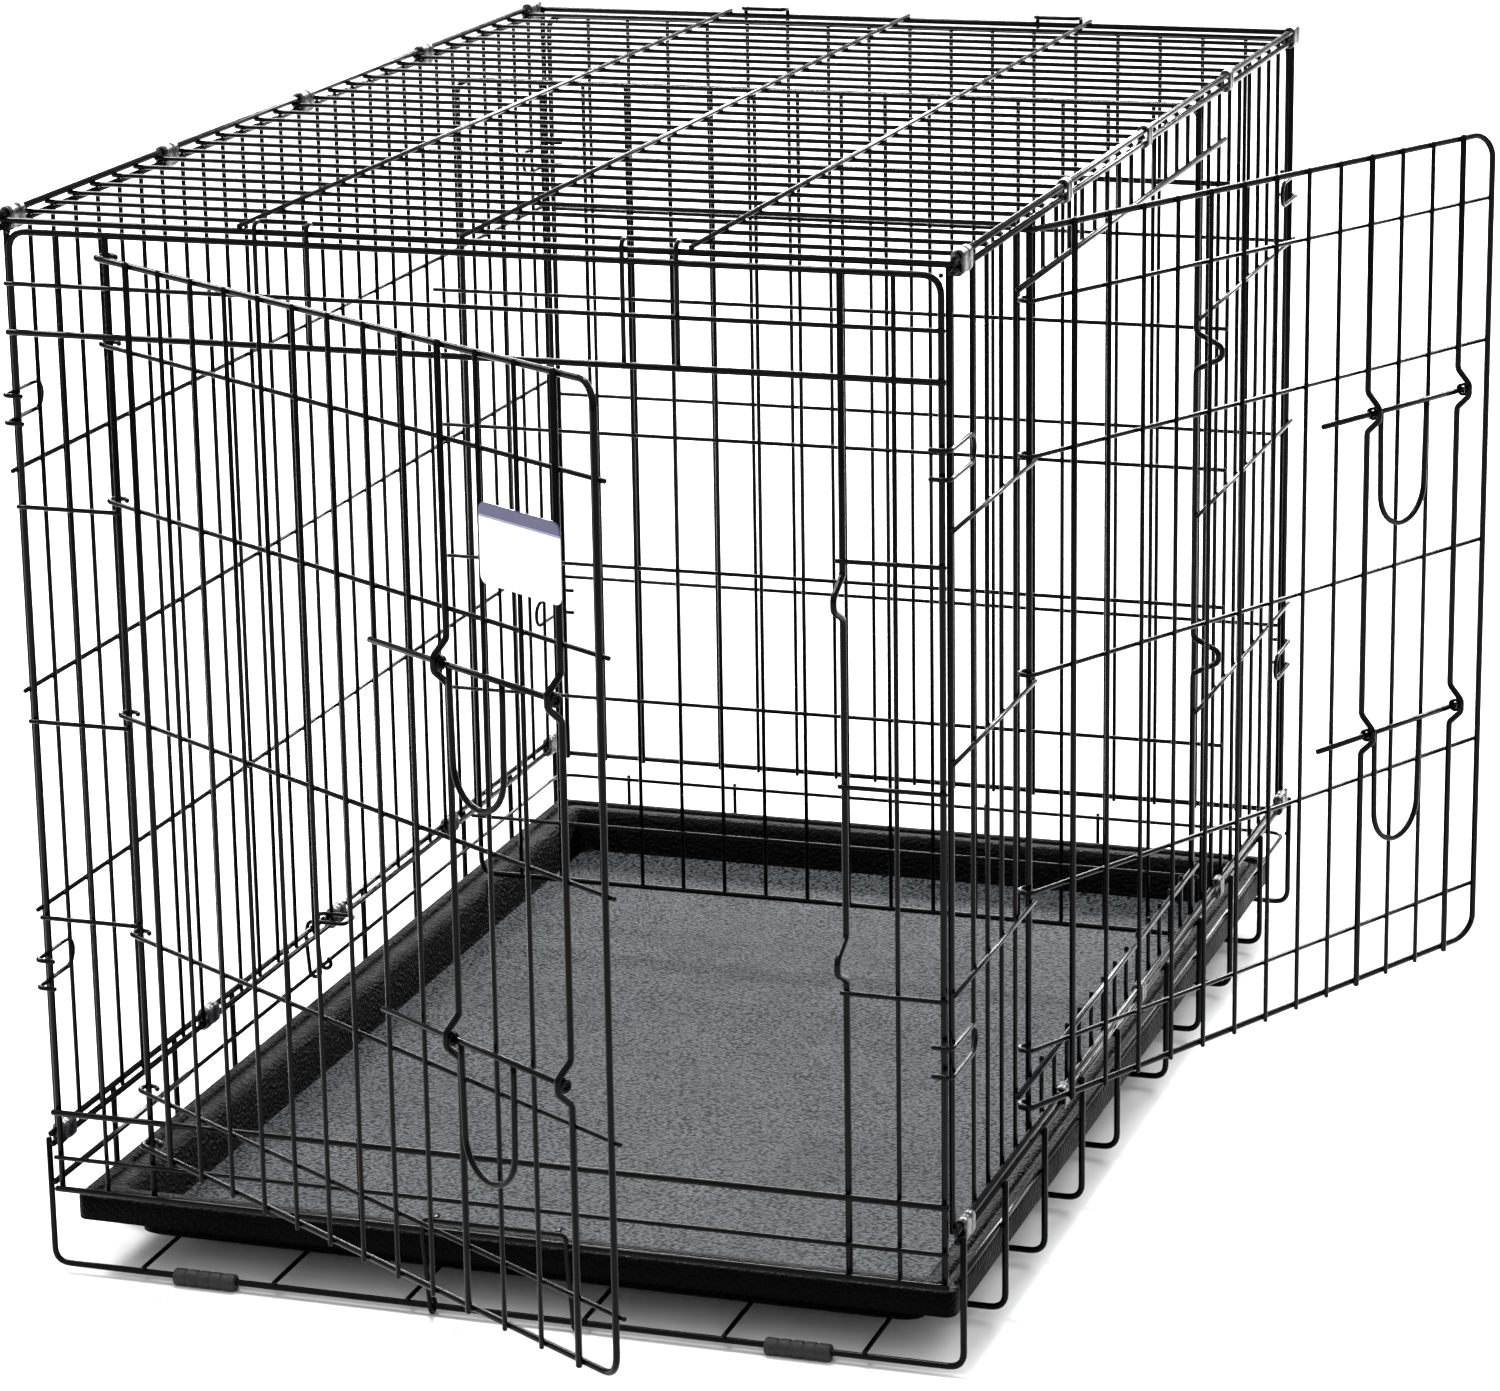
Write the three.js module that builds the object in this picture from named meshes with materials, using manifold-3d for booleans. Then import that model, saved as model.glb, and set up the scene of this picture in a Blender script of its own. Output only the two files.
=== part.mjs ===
// Folding wire dog crate with a front door, a side door, a loose divider and a slide-out floor tray.
// Millimetres, +Z up. Crate frame: X from the left side to the right, Y from the front to the back,
// Z = 0 on the centre line of the lowest floor wires. Both doors stand part open.
import * as THREE from "three";
import { mergeVertices } from "three/addons/utils/BufferGeometryUtils.js";
import Module from "manifold-3d";

const manifold = await Module();
manifold.setup();

// ---- driving dimensions -------------------------------------------------------------------------
const WIDTH = 590; // between the centre lines of the two side panels' long rods
const LENGTH = 914; // between the centre lines of the top panel's front and back rods
const THIN = 1.25; // radius of the round filler wire
const HEAVY = 1.75; // radius of the round frame wire
const BOLT_WIRE = 1.65; // radius of the door bolts' wire
const SAME_AREA = Math.sqrt(Math.PI / 2); // corner radius of a square bar as heavy as a round wire
const LAYER = 3.45; // between the two layers of crossing wires: frame wires weld, thin pairs stay 0.3 apart
const PITCH = LENGTH / 29; // between neighbouring wires along the crate
const NUB = 4; // how far a side or door rod runs on past the last wire that it is welded to
const END_NUB = 2.5; // the same on the end panels

const TOP_Z = 671; // top panel's two side rods
const TOP_END_Z = TOP_Z - 3.3; // its front and back rods, welded on from below
const ROD_GAP = 7.5; // between the two rods that a hinge clip holds
const SIDE_TOP_Z = TOP_Z - ROD_GAP;
const SIDE_BOTTOM_Z = 88;
const BASE_ROD_Z = SIDE_BOTTOM_Z - ROD_GAP;
const SIDE_RODS_Z = [236, 377, 515]; // thin rods of the side panels
const CORNER_LOOP = { length: 41, heights: [[187, 205], [546, 563]] };
const RING_Z = 55; // base frame's middle ring, which holds the tray in at the sides and the back
const RING_HEAVY_TO = 200; // the ring's two front stretches are heavy wire as far back as this

const END_GAP = 4.2; // end panels' wires stand this far outside the top panel's end rods
const END_LEFT_X = 6.5;
const END_RIGHT_X = WIDTH - END_LEFT_X;
const END_TOP_Z = 662;
const BACK_RODS_Z = [71, 217, 365, 512];
const CORNER = 12; // radius of the frames' bent corners

const FRONT_DOORWAY = { hinge: 69.5, jamb: 524, low: 104, high: 601.5 };
const FRONT_STUBS_Z = [232.5, 359, 494];
const FRONT_LOW_RODS_Z = [53, 74];
const FRONT_HIGH_ROD_Z = 631;
const TOP_HOOKS_X = [[166, 199], [394, 427]];

const SIDE_FIRST_WIRE = 1.5 * PITCH; // right panel's wires stand half a pitch off the left panel's
const SIDE_DOORWAY = { hinge: 5.5 * PITCH, jamb: 19.5 * PITCH, low: 122, high: 627 };

const FRONT_DOOR = {
  pitch: 34,
  rods: [88, 125, 227, 367.5, 501, 597, 649],
  bolts: [253, 472],
  boltStart: 274,
  open: 31.8,
};
const SIDE_DOOR = {
  pitch: 32,
  rods: [103.5, 141, 244, 383, 519, 614, 657],
  bolts: [276, 492],
  boltStart: 268,
  open: 26.5,
};
const DOOR_COLUMNS = 14; // door's upright wires, the free edge included
const DOOR_CORNER = 16; // radius of the two corners at a door's free edge
const HINGE_LOOP = 5.4; // radius of a door rod's loop round the hinge wire
const GUIDE_COLUMNS = [10, 13]; // uprights that are bent out over a bolt
const BOLT_STAND_OFF = HINGE_LOOP + LAYER + (HEAVY + BOLT_WIRE) * SAME_AREA + 0.35;
const GUIDE_STAND_OFF = BOLT_STAND_OFF + (HEAVY + BOLT_WIRE) * SAME_AREA + 0.4;
const GUIDE = { flat: 4, ends: 13 }; // half heights of a kink round a bolt: its outer part and all of it
const HANDLE = { start: 8, width: 48, drop: 79 };

const DIVIDER = { y: 690, left: 20, right: 570, low: 44.5, high: 648, rods: [90, 190, 292, 392, 493, 595] };
const TRAY = { left: 6, right: 584, front: 13, back: 897, low: 6.2, high: 41, lip: 29, skirt: 16, wall: 2.5 };
const TRAY_CORNER = 7;
const STOP = { left: 253, right: 347, reach: 12.5, height: 62 };
const FOLD_HOOK = { front: 416, back: 435, reach: 6, over: 24, top: 92.1 };
const CLIP = { long: 20, short: 11, wall: 1, slack: 0.35, clearance: 2 };
const FOOT = { fromCentre: 195, length: 42, low: -6, high: 4.8 };
const TAG = { from: 378, to: 449, low: 524.5, high: 570, thick: 1 };

const BASE_OUT = LAYER; // base uprights stand this far outside the side rods
const FLOOR_BARS_Y = [1, 2, 3, 4].map((n) => 94 * n).concat([0, 1, 2, 3].map((n) => 515 + 99.75 * n));
const FLOOR_RAILS_X = [-237, -148, -58, 58, 148, 237].map((x) => WIDTH / 2 + x);

// ---- materials ----------------------------------------------------------------------------------
const blackWire = new THREE.MeshStandardMaterial({ color: 0x101011, roughness: 0.35, metalness: 0.2 });
const clipSteel = new THREE.MeshStandardMaterial({ color: 0x3a3b3d, roughness: 0.35, metalness: 0.8 });
const trayPlastic = new THREE.MeshStandardMaterial({ color: 0x1d1e20, roughness: 0.6, metalness: 0 });
const footRubber = new THREE.MeshStandardMaterial({ color: 0x0c0c0d, roughness: 0.8, metalness: 0 });
const tagCard = new THREE.MeshStandardMaterial({ color: 0xe9e9ee, roughness: 0.5, metalness: 0 });

// ---- solids -------------------------------------------------------------------------------------
function toSolid(geometry) {
  const bare = geometry.clone();
  bare.deleteAttribute("normal");
  bare.deleteAttribute("uv");
  const merged = mergeVertices(bare, 1e-4);
  return new manifold.Manifold(
    new manifold.Mesh({
      numProp: 3,
      vertProperties: new Float32Array(merged.attributes.position.array),
      triVerts: new Uint32Array(merged.index.array),
    }),
  );
}

function toGeometry(solid) {
  const mesh = solid.getMesh();
  const geometry = new THREE.BufferGeometry();
  geometry.setAttribute("position", new THREE.BufferAttribute(mesh.vertProperties, 3));
  geometry.setIndex(new THREE.BufferAttribute(mesh.triVerts, 1));
  geometry.computeVertexNormals();
  return geometry;
}

function join(geometries) {
  return toGeometry(geometries.map(toSolid).reduce((all, next) => all.add(next)));
}

// A path through given points, which keeps each of them when it is sampled in equal steps.
class Bends extends THREE.Curve {
  constructor(points) {
    super();
    this.points = points.map((p) => new THREE.Vector3(...p));
  }

  getUtoTmapping(u) {
    return u;
  }

  getPoint(t, target = new THREE.Vector3()) {
    const place = t * (this.points.length - 1);
    const start = Math.min(Math.floor(place), this.points.length - 2);
    return target.lerpVectors(this.points[start], this.points[start + 1], place - start);
  }
}

// A bent wire, as a square bar with its edges towards the neighbouring layers.
function wire(radius, ...points) {
  const corner = radius * SAME_AREA;
  const section = new THREE.Shape([
    new THREE.Vector2(corner, 0),
    new THREE.Vector2(0, corner),
    new THREE.Vector2(-corner, 0),
    new THREE.Vector2(0, -corner),
  ]);
  const settings = { steps: points.length - 1, extrudePath: new Bends(points) };
  return new THREE.ExtrudeGeometry(section, settings);
}

// The points of a corner that is bent with a radius, from the arm towards one side to the other.
function bend(before, corner, after, radius = CORNER) {
  const middle = new THREE.Vector3(...corner);
  const start = new THREE.Vector3(...before).sub(middle).setLength(radius).add(middle);
  const end = new THREE.Vector3(...after).sub(middle).setLength(radius).add(middle);
  return new THREE.QuadraticBezierCurve3(start, middle, end).getPoints(2).map((p) => p.toArray());
}

// A polyline whose inner corners are bent.
function rounded(points, radius = CORNER) {
  const last = points.length - 1;
  const inner = points.slice(1, -1).flatMap((p, n) => bend(points[n], p, points[n + 2], radius));
  return [points[0], ...inner, points[last]];
}

function range(count, from = 0) {
  return Array.from({ length: count }, (_, n) => n + from);
}

// A rounded rectangle from corner to corner, drawn in a shape's own XY plane.
function roundedOutline(Kind, x0, y0, x1, y1, radius) {
  const outline = new Kind();
  outline.absarc(x1 - radius, y1 - radius, radius, 0, Math.PI / 2);
  outline.absarc(x0 + radius, y1 - radius, radius, Math.PI / 2, Math.PI);
  outline.absarc(x0 + radius, y0 + radius, radius, Math.PI, Math.PI * 1.5);
  outline.absarc(x1 - radius, y0 + radius, radius, Math.PI * 1.5, Math.PI * 2);
  return outline;
}

// ---- side panels and top ------------------------------------------------------------------------
const crossWires = range(28, 1).map((n) => n * PITCH);

function makeTopPanel() {
  const wires = [0, WIDTH].map((x) => wire(HEAVY, [x, -1.5, TOP_Z], [x, LENGTH + 1.5, TOP_Z]));
  for (const y of [0, LENGTH]) {
    wires.push(wire(HEAVY, [0.6, y, TOP_END_Z], [WIDTH - 0.6, y, TOP_END_Z]));
  }
  for (const x of [155, WIDTH / 2, WIDTH - 155]) {
    wires.push(wire(THIN, [x, -1.5, TOP_Z], [x, LENGTH + 1.5, TOP_Z]));
  }
  for (const y of crossWires) {
    const z = TOP_Z - LAYER;
    wires.push(wire(THIN, [-1, y, z], [WIDTH + 1, y, z]));
  }
  return join(wires);
}

// A D-shaped wire on a side panel. Its two ends reach round an end panel's corner upright and keep it
// from falling outwards. side is 1 on the right and -1 on the left, end is -1 at the front and 1 at the back.
function cornerLoop(side, end, [low, high]) {
  const rodX = side > 0 ? WIDTH : 0;
  const edgeY = end > 0 ? LENGTH : 0;
  const roundY = edgeY - end * CORNER_LOOP.length;
  const outY = edgeY + end * (END_GAP + 5.8);
  const inX = rodX - side * 12;
  const middle = (low + high) / 2;
  return wire(
    THIN,
    [inX, outY, high],
    ...bend([inX, outY, high], [rodX, outY, high], [rodX, edgeY, high], 3),
    [rodX, roundY + end * 7, high],
    [rodX, roundY + end * 1.5, high - 3],
    [rodX, roundY, middle],
    [rodX, roundY + end * 1.5, low + 3],
    [rodX, roundY + end * 7, low],
    ...bend([rodX, edgeY, low], [rodX, outY, low], [inX, outY, low], 3),
    [inX, outY, low],
  );
}

function cornerLoops(side) {
  return [-1, 1].flatMap((end) => CORNER_LOOP.heights.map((pair) => cornerLoop(side, end, pair)));
}

function sideRod(x, z, radius = THIN, from = 0, to = LENGTH) {
  return wire(radius, [x, from - NUB, z], [x, to + NUB, z]);
}

function makeLeftPanel() {
  const uprightX = LAYER;
  const wires = [sideRod(0, SIDE_TOP_Z, HEAVY), sideRod(0, SIDE_BOTTOM_Z, HEAVY)];
  for (const n of range(30)) {
    const radius = n === 0 || n === 29 ? HEAVY : THIN;
    wires.push(wire(radius, [uprightX, n * PITCH, SIDE_BOTTOM_Z - 2], [uprightX, n * PITCH, SIDE_TOP_Z + 2]));
  }
  for (const z of SIDE_RODS_Z) wires.push(sideRod(0, z));
  return join(wires.concat(cornerLoops(-1)));
}

const rightWires = [0, ...range(27).map((n) => SIDE_FIRST_WIRE + n * PITCH), LENGTH];

// A doorway's closing upright, bent out into a loop where each bolt goes in. The place gives the
// point on the upright from its distance along the wall and how far it stands out.
function jamb(place, along, low, high, boltHeights) {
  const loops = boltHeights.flatMap((z) => [
    place(along, 0, z - GUIDE.ends),
    place(along, GUIDE_STAND_OFF, z - GUIDE.flat),
    place(along, GUIDE_STAND_OFF, z + GUIDE.flat),
    place(along, 0, z + GUIDE.ends),
  ]);
  return wire(HEAVY, place(along, 0, low), ...loops, place(along, 0, high));
}

function makeRightPanel() {
  const uprightX = WIDTH - LAYER;
  const { hinge, jamb: jambY, low, high } = SIDE_DOORWAY;
  const wires = [sideRod(WIDTH, SIDE_TOP_Z, HEAVY), sideRod(WIDTH, SIDE_BOTTOM_Z, HEAVY)];
  const upright = (y, from, to, radius) => wires.push(wire(radius, [uprightX, y, from], [uprightX, y, to]));
  for (const y of rightWires) {
    const inDoorway = y > hinge + 1 && y < jambY - 1;
    const isJamb = Math.abs(y - jambY) < 1;
    const isHeavy = y === 0 || y === LENGTH || Math.abs(y - hinge) < 1;
    if (inDoorway) {
      upright(y, SIDE_BOTTOM_Z - 2, low + 2, THIN);
      upright(y, high - 2, SIDE_TOP_Z + 2, THIN);
    } else if (!isJamb) {
      upright(y, SIDE_BOTTOM_Z - 2, SIDE_TOP_Z + 2, isHeavy ? HEAVY : THIN);
    }
  }
  const place = (along, out, z) => [uprightX + out, along, z];
  wires.push(jamb(place, jambY, SIDE_BOTTOM_Z - 2, SIDE_TOP_Z + 2, SIDE_DOOR.bolts));
  wires.push(sideRod(WIDTH, low, HEAVY, hinge - PITCH, jambY));
  wires.push(sideRod(WIDTH, high, HEAVY, hinge - PITCH, jambY + 2 * PITCH));
  for (const z of SIDE_RODS_Z) {
    wires.push(sideRod(WIDTH, z, THIN, 0, hinge));
    wires.push(sideRod(WIDTH, z, THIN, jambY));
  }
  return join(wires.concat(cornerLoops(1)));
}

// ---- end panels ---------------------------------------------------------------------------------
// The bent frame of an end panel: up one side, across the top and down the other.
function endFrame(y, bottom) {
  return wire(
    HEAVY,
    ...rounded([
      [END_LEFT_X, y, bottom],
      [END_LEFT_X, y, END_TOP_Z],
      [END_RIGHT_X, y, END_TOP_Z],
      [END_RIGHT_X, y, bottom],
    ]),
  );
}

function endRod(y, z, radius, from = END_LEFT_X, to = END_RIGHT_X) {
  return wire(radius, [from - END_NUB, y, z], [to + END_NUB, y, z]);
}

function makeFrontPanel() {
  const uprightY = -END_GAP;
  const rodY = uprightY - LAYER;
  const { hinge, jamb: jambX, low, high } = FRONT_DOORWAY;
  const bottom = FRONT_LOW_RODS_Z[0] - 2;
  const wires = [endFrame(uprightY, bottom)];
  for (const z of [FRONT_LOW_RODS_Z[0], low, high]) wires.push(endRod(rodY, z, HEAVY));
  for (const z of [FRONT_LOW_RODS_Z[1], FRONT_HIGH_ROD_Z]) wires.push(endRod(rodY, z, THIN));
  for (const z of FRONT_STUBS_Z) {
    wires.push(endRod(rodY, z, THIN, END_LEFT_X, hinge));
    wires.push(endRod(rodY, z, THIN, jambX, END_RIGHT_X));
  }
  const place = (along, out, z) => [along, uprightY - out, z];
  wires.push(jamb(place, jambX, bottom, END_TOP_Z, FRONT_DOOR.bolts));
  wires.push(wire(HEAVY, [hinge, uprightY, bottom], [hinge, uprightY, END_TOP_Z]));
  for (const x of [hinge - PITCH, jambX + PITCH]) {
    wires.push(wire(THIN, [x, uprightY, bottom], [x, uprightY, END_TOP_Z]));
  }
  for (const x of [209, 374]) wires.push(wire(THIN, [x, uprightY, bottom], [x, uprightY, low + 2]));
  for (const [left, right] of TOP_HOOKS_X) wires.push(topHook(left, right, -1, high - 2));
  return join(wires);
}

// A bent wire on an end panel that reaches up over the top panel's end rod. end is -1 at the front and
// 1 at the back.
function topHook(left, right, end, from) {
  const y = (end > 0 ? LENGTH : 0) + end * END_GAP;
  const inside = (end > 0 ? LENGTH : 0) - end * 5;
  const over = TOP_END_Z + 5.8;
  return wire(
    THIN,
    ...rounded(
      [
        [left, y, from],
        [left, y, over],
        [left, inside, over],
        [right, inside, over],
        [right, y, over],
        [right, y, from],
      ],
      3,
    ),
  );
}

function makeBackPanel() {
  const uprightY = LENGTH + END_GAP;
  const bottom = BACK_RODS_Z[0] - 2;
  const wires = [endFrame(uprightY, bottom)];
  BACK_RODS_Z.forEach((z, n) => wires.push(endRod(uprightY + LAYER, z, n ? THIN : HEAVY)));
  for (const n of range(17, 1)) {
    const x = END_LEFT_X + (n * (END_RIGHT_X - END_LEFT_X)) / 18;
    wires.push(wire(THIN, [x, uprightY, bottom], [x, uprightY, END_TOP_Z]));
  }
  for (const [left, right] of TOP_HOOKS_X) wires.push(topHook(left, right, 1, END_TOP_Z - 0.5));
  return join(wires);
}

function makeDivider() {
  const { y, left, right, low, high, rods } = DIVIDER;
  const frame = rounded([[left, y, low], [left, y, high], [right, y, high], [right, y, low]]);
  const wires = [wire(HEAVY, ...frame), wire(HEAVY, [left - 2, y, low], [right + 2, y, low])];
  for (const n of range(16, 1)) {
    const x = left + (n * (right - left)) / 17;
    wires.push(wire(THIN, [x, y, low], [x, y, high]));
  }
  // The rods' ends reach between the side panels' uprights. The lowest one stops short of the rods there.
  rods.forEach((z, n) => {
    const end = n ? -2 : left - 5;
    const radius = n === rods.length - 1 ? HEAVY : THIN;
    wires.push(wire(radius, [end, y - LAYER, z], [WIDTH - end, y - LAYER, z]));
  });
  return join(wires);
}

// ---- doors and bolts ----------------------------------------------------------------------------
// A door is drawn closed, with its hinge wire's axis on the origin, its free edge towards +X and its
// outside towards -Y.
function hingeLoop(z) {
  const loop = [30, 90, 150, 210].map((degrees) => {
    const turn = THREE.MathUtils.degToRad(degrees);
    return [HINGE_LOOP * Math.cos(turn), HINGE_LOOP * Math.sin(turn), z];
  });
  return [...loop, [0, -HINGE_LOOP, z]];
}

// A door's heavy outer wire: along the top, round two corners at the free edge and back along the
// bottom. At the corners it steps out from the rods' layer to the uprights' layer.
function doorFrame(freeEdge, bottom, top) {
  const inner = -HINGE_LOOP;
  const outer = -HINGE_LOOP - LAYER;
  const corner = (z, towards) => [
    [freeEdge - DOOR_CORNER, inner, z],
    [freeEdge - DOOR_CORNER * 0.3, (inner + outer) / 2, z + towards * DOOR_CORNER * 0.3],
    [freeEdge, outer, z + towards * DOOR_CORNER],
  ];
  const path = [...hingeLoop(top), ...corner(top, -1), ...corner(bottom, 1).reverse()];
  return wire(HEAVY, ...path, ...hingeLoop(bottom).reverse());
}

function makeDoor({ pitch, rods, bolts }) {
  const bottom = rods[0];
  const top = rods[rods.length - 1];
  const freeEdge = pitch * DOOR_COLUMNS;
  const y = -HINGE_LOOP - LAYER;
  const wires = [doorFrame(freeEdge, bottom, top)];
  for (const z of rods.slice(1, -1)) wires.push(wire(THIN, ...hingeLoop(z), [freeEdge + NUB, -HINGE_LOOP, z]));
  for (const n of range(DOOR_COLUMNS - 1, 1)) {
    const x = n * pitch;
    const isGuide = GUIDE_COLUMNS.includes(n);
    const guides = isGuide ? bolts.flatMap((z) => guidePoints(x, y, z)) : [];
    wires.push(wire(isGuide || n === 1 ? HEAVY : THIN, [x, y, bottom - 2], ...guides, [x, y, top + 2]));
  }
  return join(wires);
}

// Where an upright of a door leaves its line to pass outside a bolt.
function guidePoints(x, y, z) {
  return [
    [x, y, z - GUIDE.ends],
    [x, -GUIDE_STAND_OFF, z - GUIDE.flat],
    [x, -GUIDE_STAND_OFF, z + GUIDE.flat],
    [x, y, z + GUIDE.ends],
  ];
}

function makeBolt({ pitch, boltStart }, z) {
  const y = -BOLT_STAND_OFF;
  const rodEnd = GUIDE_COLUMNS[1] * pitch;
  const left = GUIDE_COLUMNS[0] * pitch + HANDLE.start;
  const right = left + HANDLE.width;
  const low = z - HANDLE.drop;
  const handle = wire(
    BOLT_WIRE,
    [left, y, z],
    [left + 1, y, low + 26],
    [left + 9, y, low + 6],
    [left + HANDLE.width / 2, y, low],
    [right - 9, y, low + 6],
    [right - 1, y, low + 26],
    [right, y, z],
  );
  return join([wire(BOLT_WIRE, [boltStart, y, z], [rodEnd, y, z]), handle]);
}

function makeTag() {
  const size = [TAG.to - TAG.from, TAG.thick, TAG.high - TAG.low];
  const y = -HINGE_LOOP - LAYER - HEAVY * SAME_AREA - 0.4 - TAG.thick / 2;
  const card = new THREE.BoxGeometry(...size);
  return card.translate((TAG.from + TAG.to) / 2, y, (TAG.low + TAG.high) / 2);
}

// ---- base, tray and small parts -----------------------------------------------------------------
function makeBaseFrame() {
  const left = -BASE_OUT;
  const right = WIDTH + BASE_OUT;
  const top = BASE_ROD_Z + 2.5;
  const railZ = LAYER;
  const railBackY = LENGTH + LAYER;
  const wires = [];
  for (const y of [0, ...FLOOR_BARS_Y, LENGTH]) {
    const path = [[left, y, top], [left, y, 0], [right, y, 0], [right, y, top]];
    wires.push(wire(HEAVY, ...rounded(path, 8)));
  }
  for (const x of FLOOR_RAILS_X) {
    const path = [[x, -1.5, railZ], [x, railBackY, railZ], [x, railBackY, RING_Z + 2]];
    wires.push(wire(THIN, ...rounded(path, 6)));
  }
  for (const x of [0, WIDTH]) {
    wires.push(wire(HEAVY, [x, -1.5, BASE_ROD_Z], [x, LENGTH + 1.5, BASE_ROD_Z]));
  }
  const lap = RING_HEAVY_TO - 10;
  const ring = rounded([[0, lap, RING_Z], [0, LENGTH, RING_Z], [WIDTH, LENGTH, RING_Z], [WIDTH, lap, RING_Z]]);
  wires.push(wire(THIN, ...ring));
  for (const x of [0, WIDTH]) wires.push(wire(HEAVY, [x, -1.5, RING_Z], [x, RING_HEAVY_TO, RING_Z]));
  return join(wires);
}

// A ring of the tray, cut square, between two rounded rectangles and two heights.
function trayRing(outset, inset, low, high) {
  const outline = roundedOutline(
    THREE.Shape,
    TRAY.left + outset,
    TRAY.front + outset,
    TRAY.right - outset,
    TRAY.back - outset,
    Math.max(TRAY_CORNER - outset, 3),
  );
  if (inset) {
    outline.holes.push(
      roundedOutline(
        THREE.Path,
        TRAY.left + inset,
        TRAY.front + inset,
        TRAY.right - inset,
        TRAY.back - inset,
        Math.max(TRAY_CORNER - inset, 3),
      ),
    );
  }
  const settings = { depth: high - low, bevelEnabled: false, curveSegments: 3 };
  return new THREE.ExtrudeGeometry(outline, settings).translate(0, 0, low);
}

function makeTray() {
  const { low, high, lip, skirt, wall } = TRAY;
  return join([
    trayRing(lip, 0, low, low + wall),
    trayRing(lip, lip + wall, low, high),
    trayRing(0, lip + wall, high - wall, high),
    trayRing(0, wall, high - skirt, high),
  ]);
}

// An open eye round an axis, as points from its free end to the side that the wire leaves by.
// to3d places a point from its offsets across and up from the axis.
function eye(to3d) {
  const radius = (HEAVY + THIN) * SAME_AREA + 0.6;
  return [60, 0, -60, -120, -180].map((degrees) => {
    const turn = THREE.MathUtils.degToRad(degrees);
    return to3d(radius * Math.cos(turn), radius * Math.sin(turn));
  });
}

function makeTrayStop() {
  const { left, right, reach, height } = STOP;
  const legEye = (x) => eye((across, up) => [x, across, up]);
  const frame = wire(
    THIN,
    ...legEye(left),
    [left, -reach, height - 14],
    [left, -reach, height],
    [right, -reach, height],
    [right, -reach, height - 14],
    ...legEye(right).reverse(),
  );
  const hooks = [left + 7, right - 7].map((x) => {
    const rear = height - 0.3;
    return wire(THIN, [x, -reach, height], [x, -3, rear]);
  });
  return join([frame, ...hooks]);
}

// A wire hook that pivots on the base's ring and leans on the left panel's bottom rod. It holds the
// folded panels down.
function makeFoldHook() {
  const { front, back, reach, over, top } = FOLD_HOOK;
  const legEye = (y) => [...eye((across, up) => [across, y, RING_Z + up]), [-reach, y, top - 12]];
  return wire(
    THIN,
    ...legEye(front),
    [4 - reach, front, top],
    [over, front, top],
    [over, back, top],
    [4 - reach, back, top],
    ...legEye(back).reverse(),
  );
}

// A flat steel strap bent round two rods, one above the other, that lets the panels turn.
function makeClip(side, { middle, length }, lowRodZ) {
  const inner = HEAVY * SAME_AREA + CLIP.slack;
  const outer = inner + CLIP.wall;
  const stadium = (Kind, radius) => roundedOutline(Kind, -radius, -radius, radius, ROD_GAP + radius, radius - 0.01);
  const strap = stadium(THREE.Shape, outer);
  strap.holes.push(stadium(THREE.Path, inner));
  const settings = { depth: length, bevelEnabled: false, curveSegments: 2 };
  const geometry = new THREE.ExtrudeGeometry(strap, settings).translate(0, 0, -length / 2);
  return geometry.rotateX(Math.PI / 2).translate(side > 0 ? WIDTH : 0, middle, lowRodZ);
}

// Clips stand in the middle of the gaps between wires that are nearest to five evenly spread places. A
// wide gap takes a long clip.
function clipPlaces(uprights) {
  const wires = [...new Set([0, ...uprights, ...crossWires, LENGTH].map((y) => y.toFixed(1)))];
  const sorted = wires.map(Number).sort((a, b) => a - b);
  const gaps = sorted.slice(1).map((y, n) => {
    const room = y - sorted[n] - 2 * (HEAVY * SAME_AREA + CLIP.clearance / 2);
    return { middle: (y + sorted[n]) / 2, length: room > CLIP.long ? CLIP.long : CLIP.short, room };
  });
  const wide = gaps.filter((gap) => gap.room > CLIP.short - 2);
  return [0.5, 7.7, 14.4, 21.6, 28.5].map((n) => {
    const distance = (gap) => Math.abs(gap.middle - n * PITCH);
    return wide.reduce((best, gap) => (distance(gap) < distance(best) ? gap : best));
  });
}

function makeFoot(side, y) {
  const apothem = (FOOT.high - FOOT.low) / 2;
  const outer = apothem / Math.cos(Math.PI / 8);
  const centre = (FOOT.high + FOOT.low) / 2;
  const corners = (radius, shift) =>
    range(8).map((n) => {
      const turn = ((n + 0.5) * Math.PI) / 4;
      return new THREE.Vector2(radius * Math.cos(turn), radius * Math.sin(turn) + shift);
    });
  const sleeve = new THREE.Shape(corners(outer, centre));
  sleeve.holes.push(new THREE.Path(corners((HEAVY * SAME_AREA + 0.3) / Math.cos(Math.PI / 8), 0)));
  const settings = { depth: FOOT.length, bevelEnabled: false };
  const geometry = new THREE.ExtrudeGeometry(sleeve, settings).translate(0, 0, -FOOT.length / 2);
  return geometry.rotateX(Math.PI / 2).rotateZ(Math.PI / 2).translate(WIDTH / 2 + side * FOOT.fromCentre, y, 0);
}

// ---- assembly -----------------------------------------------------------------------------------
const crate = new THREE.Group();

function place(name, geometry, material, parent = crate) {
  const mesh = new THREE.Mesh(geometry, material);
  mesh.name = name;
  parent.add(mesh);
}

function doorGroup(x, y, degrees) {
  const group = new THREE.Group();
  group.position.set(x, y, 0);
  group.rotation.z = THREE.MathUtils.degToRad(degrees);
  crate.add(group);
  return group;
}

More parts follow.
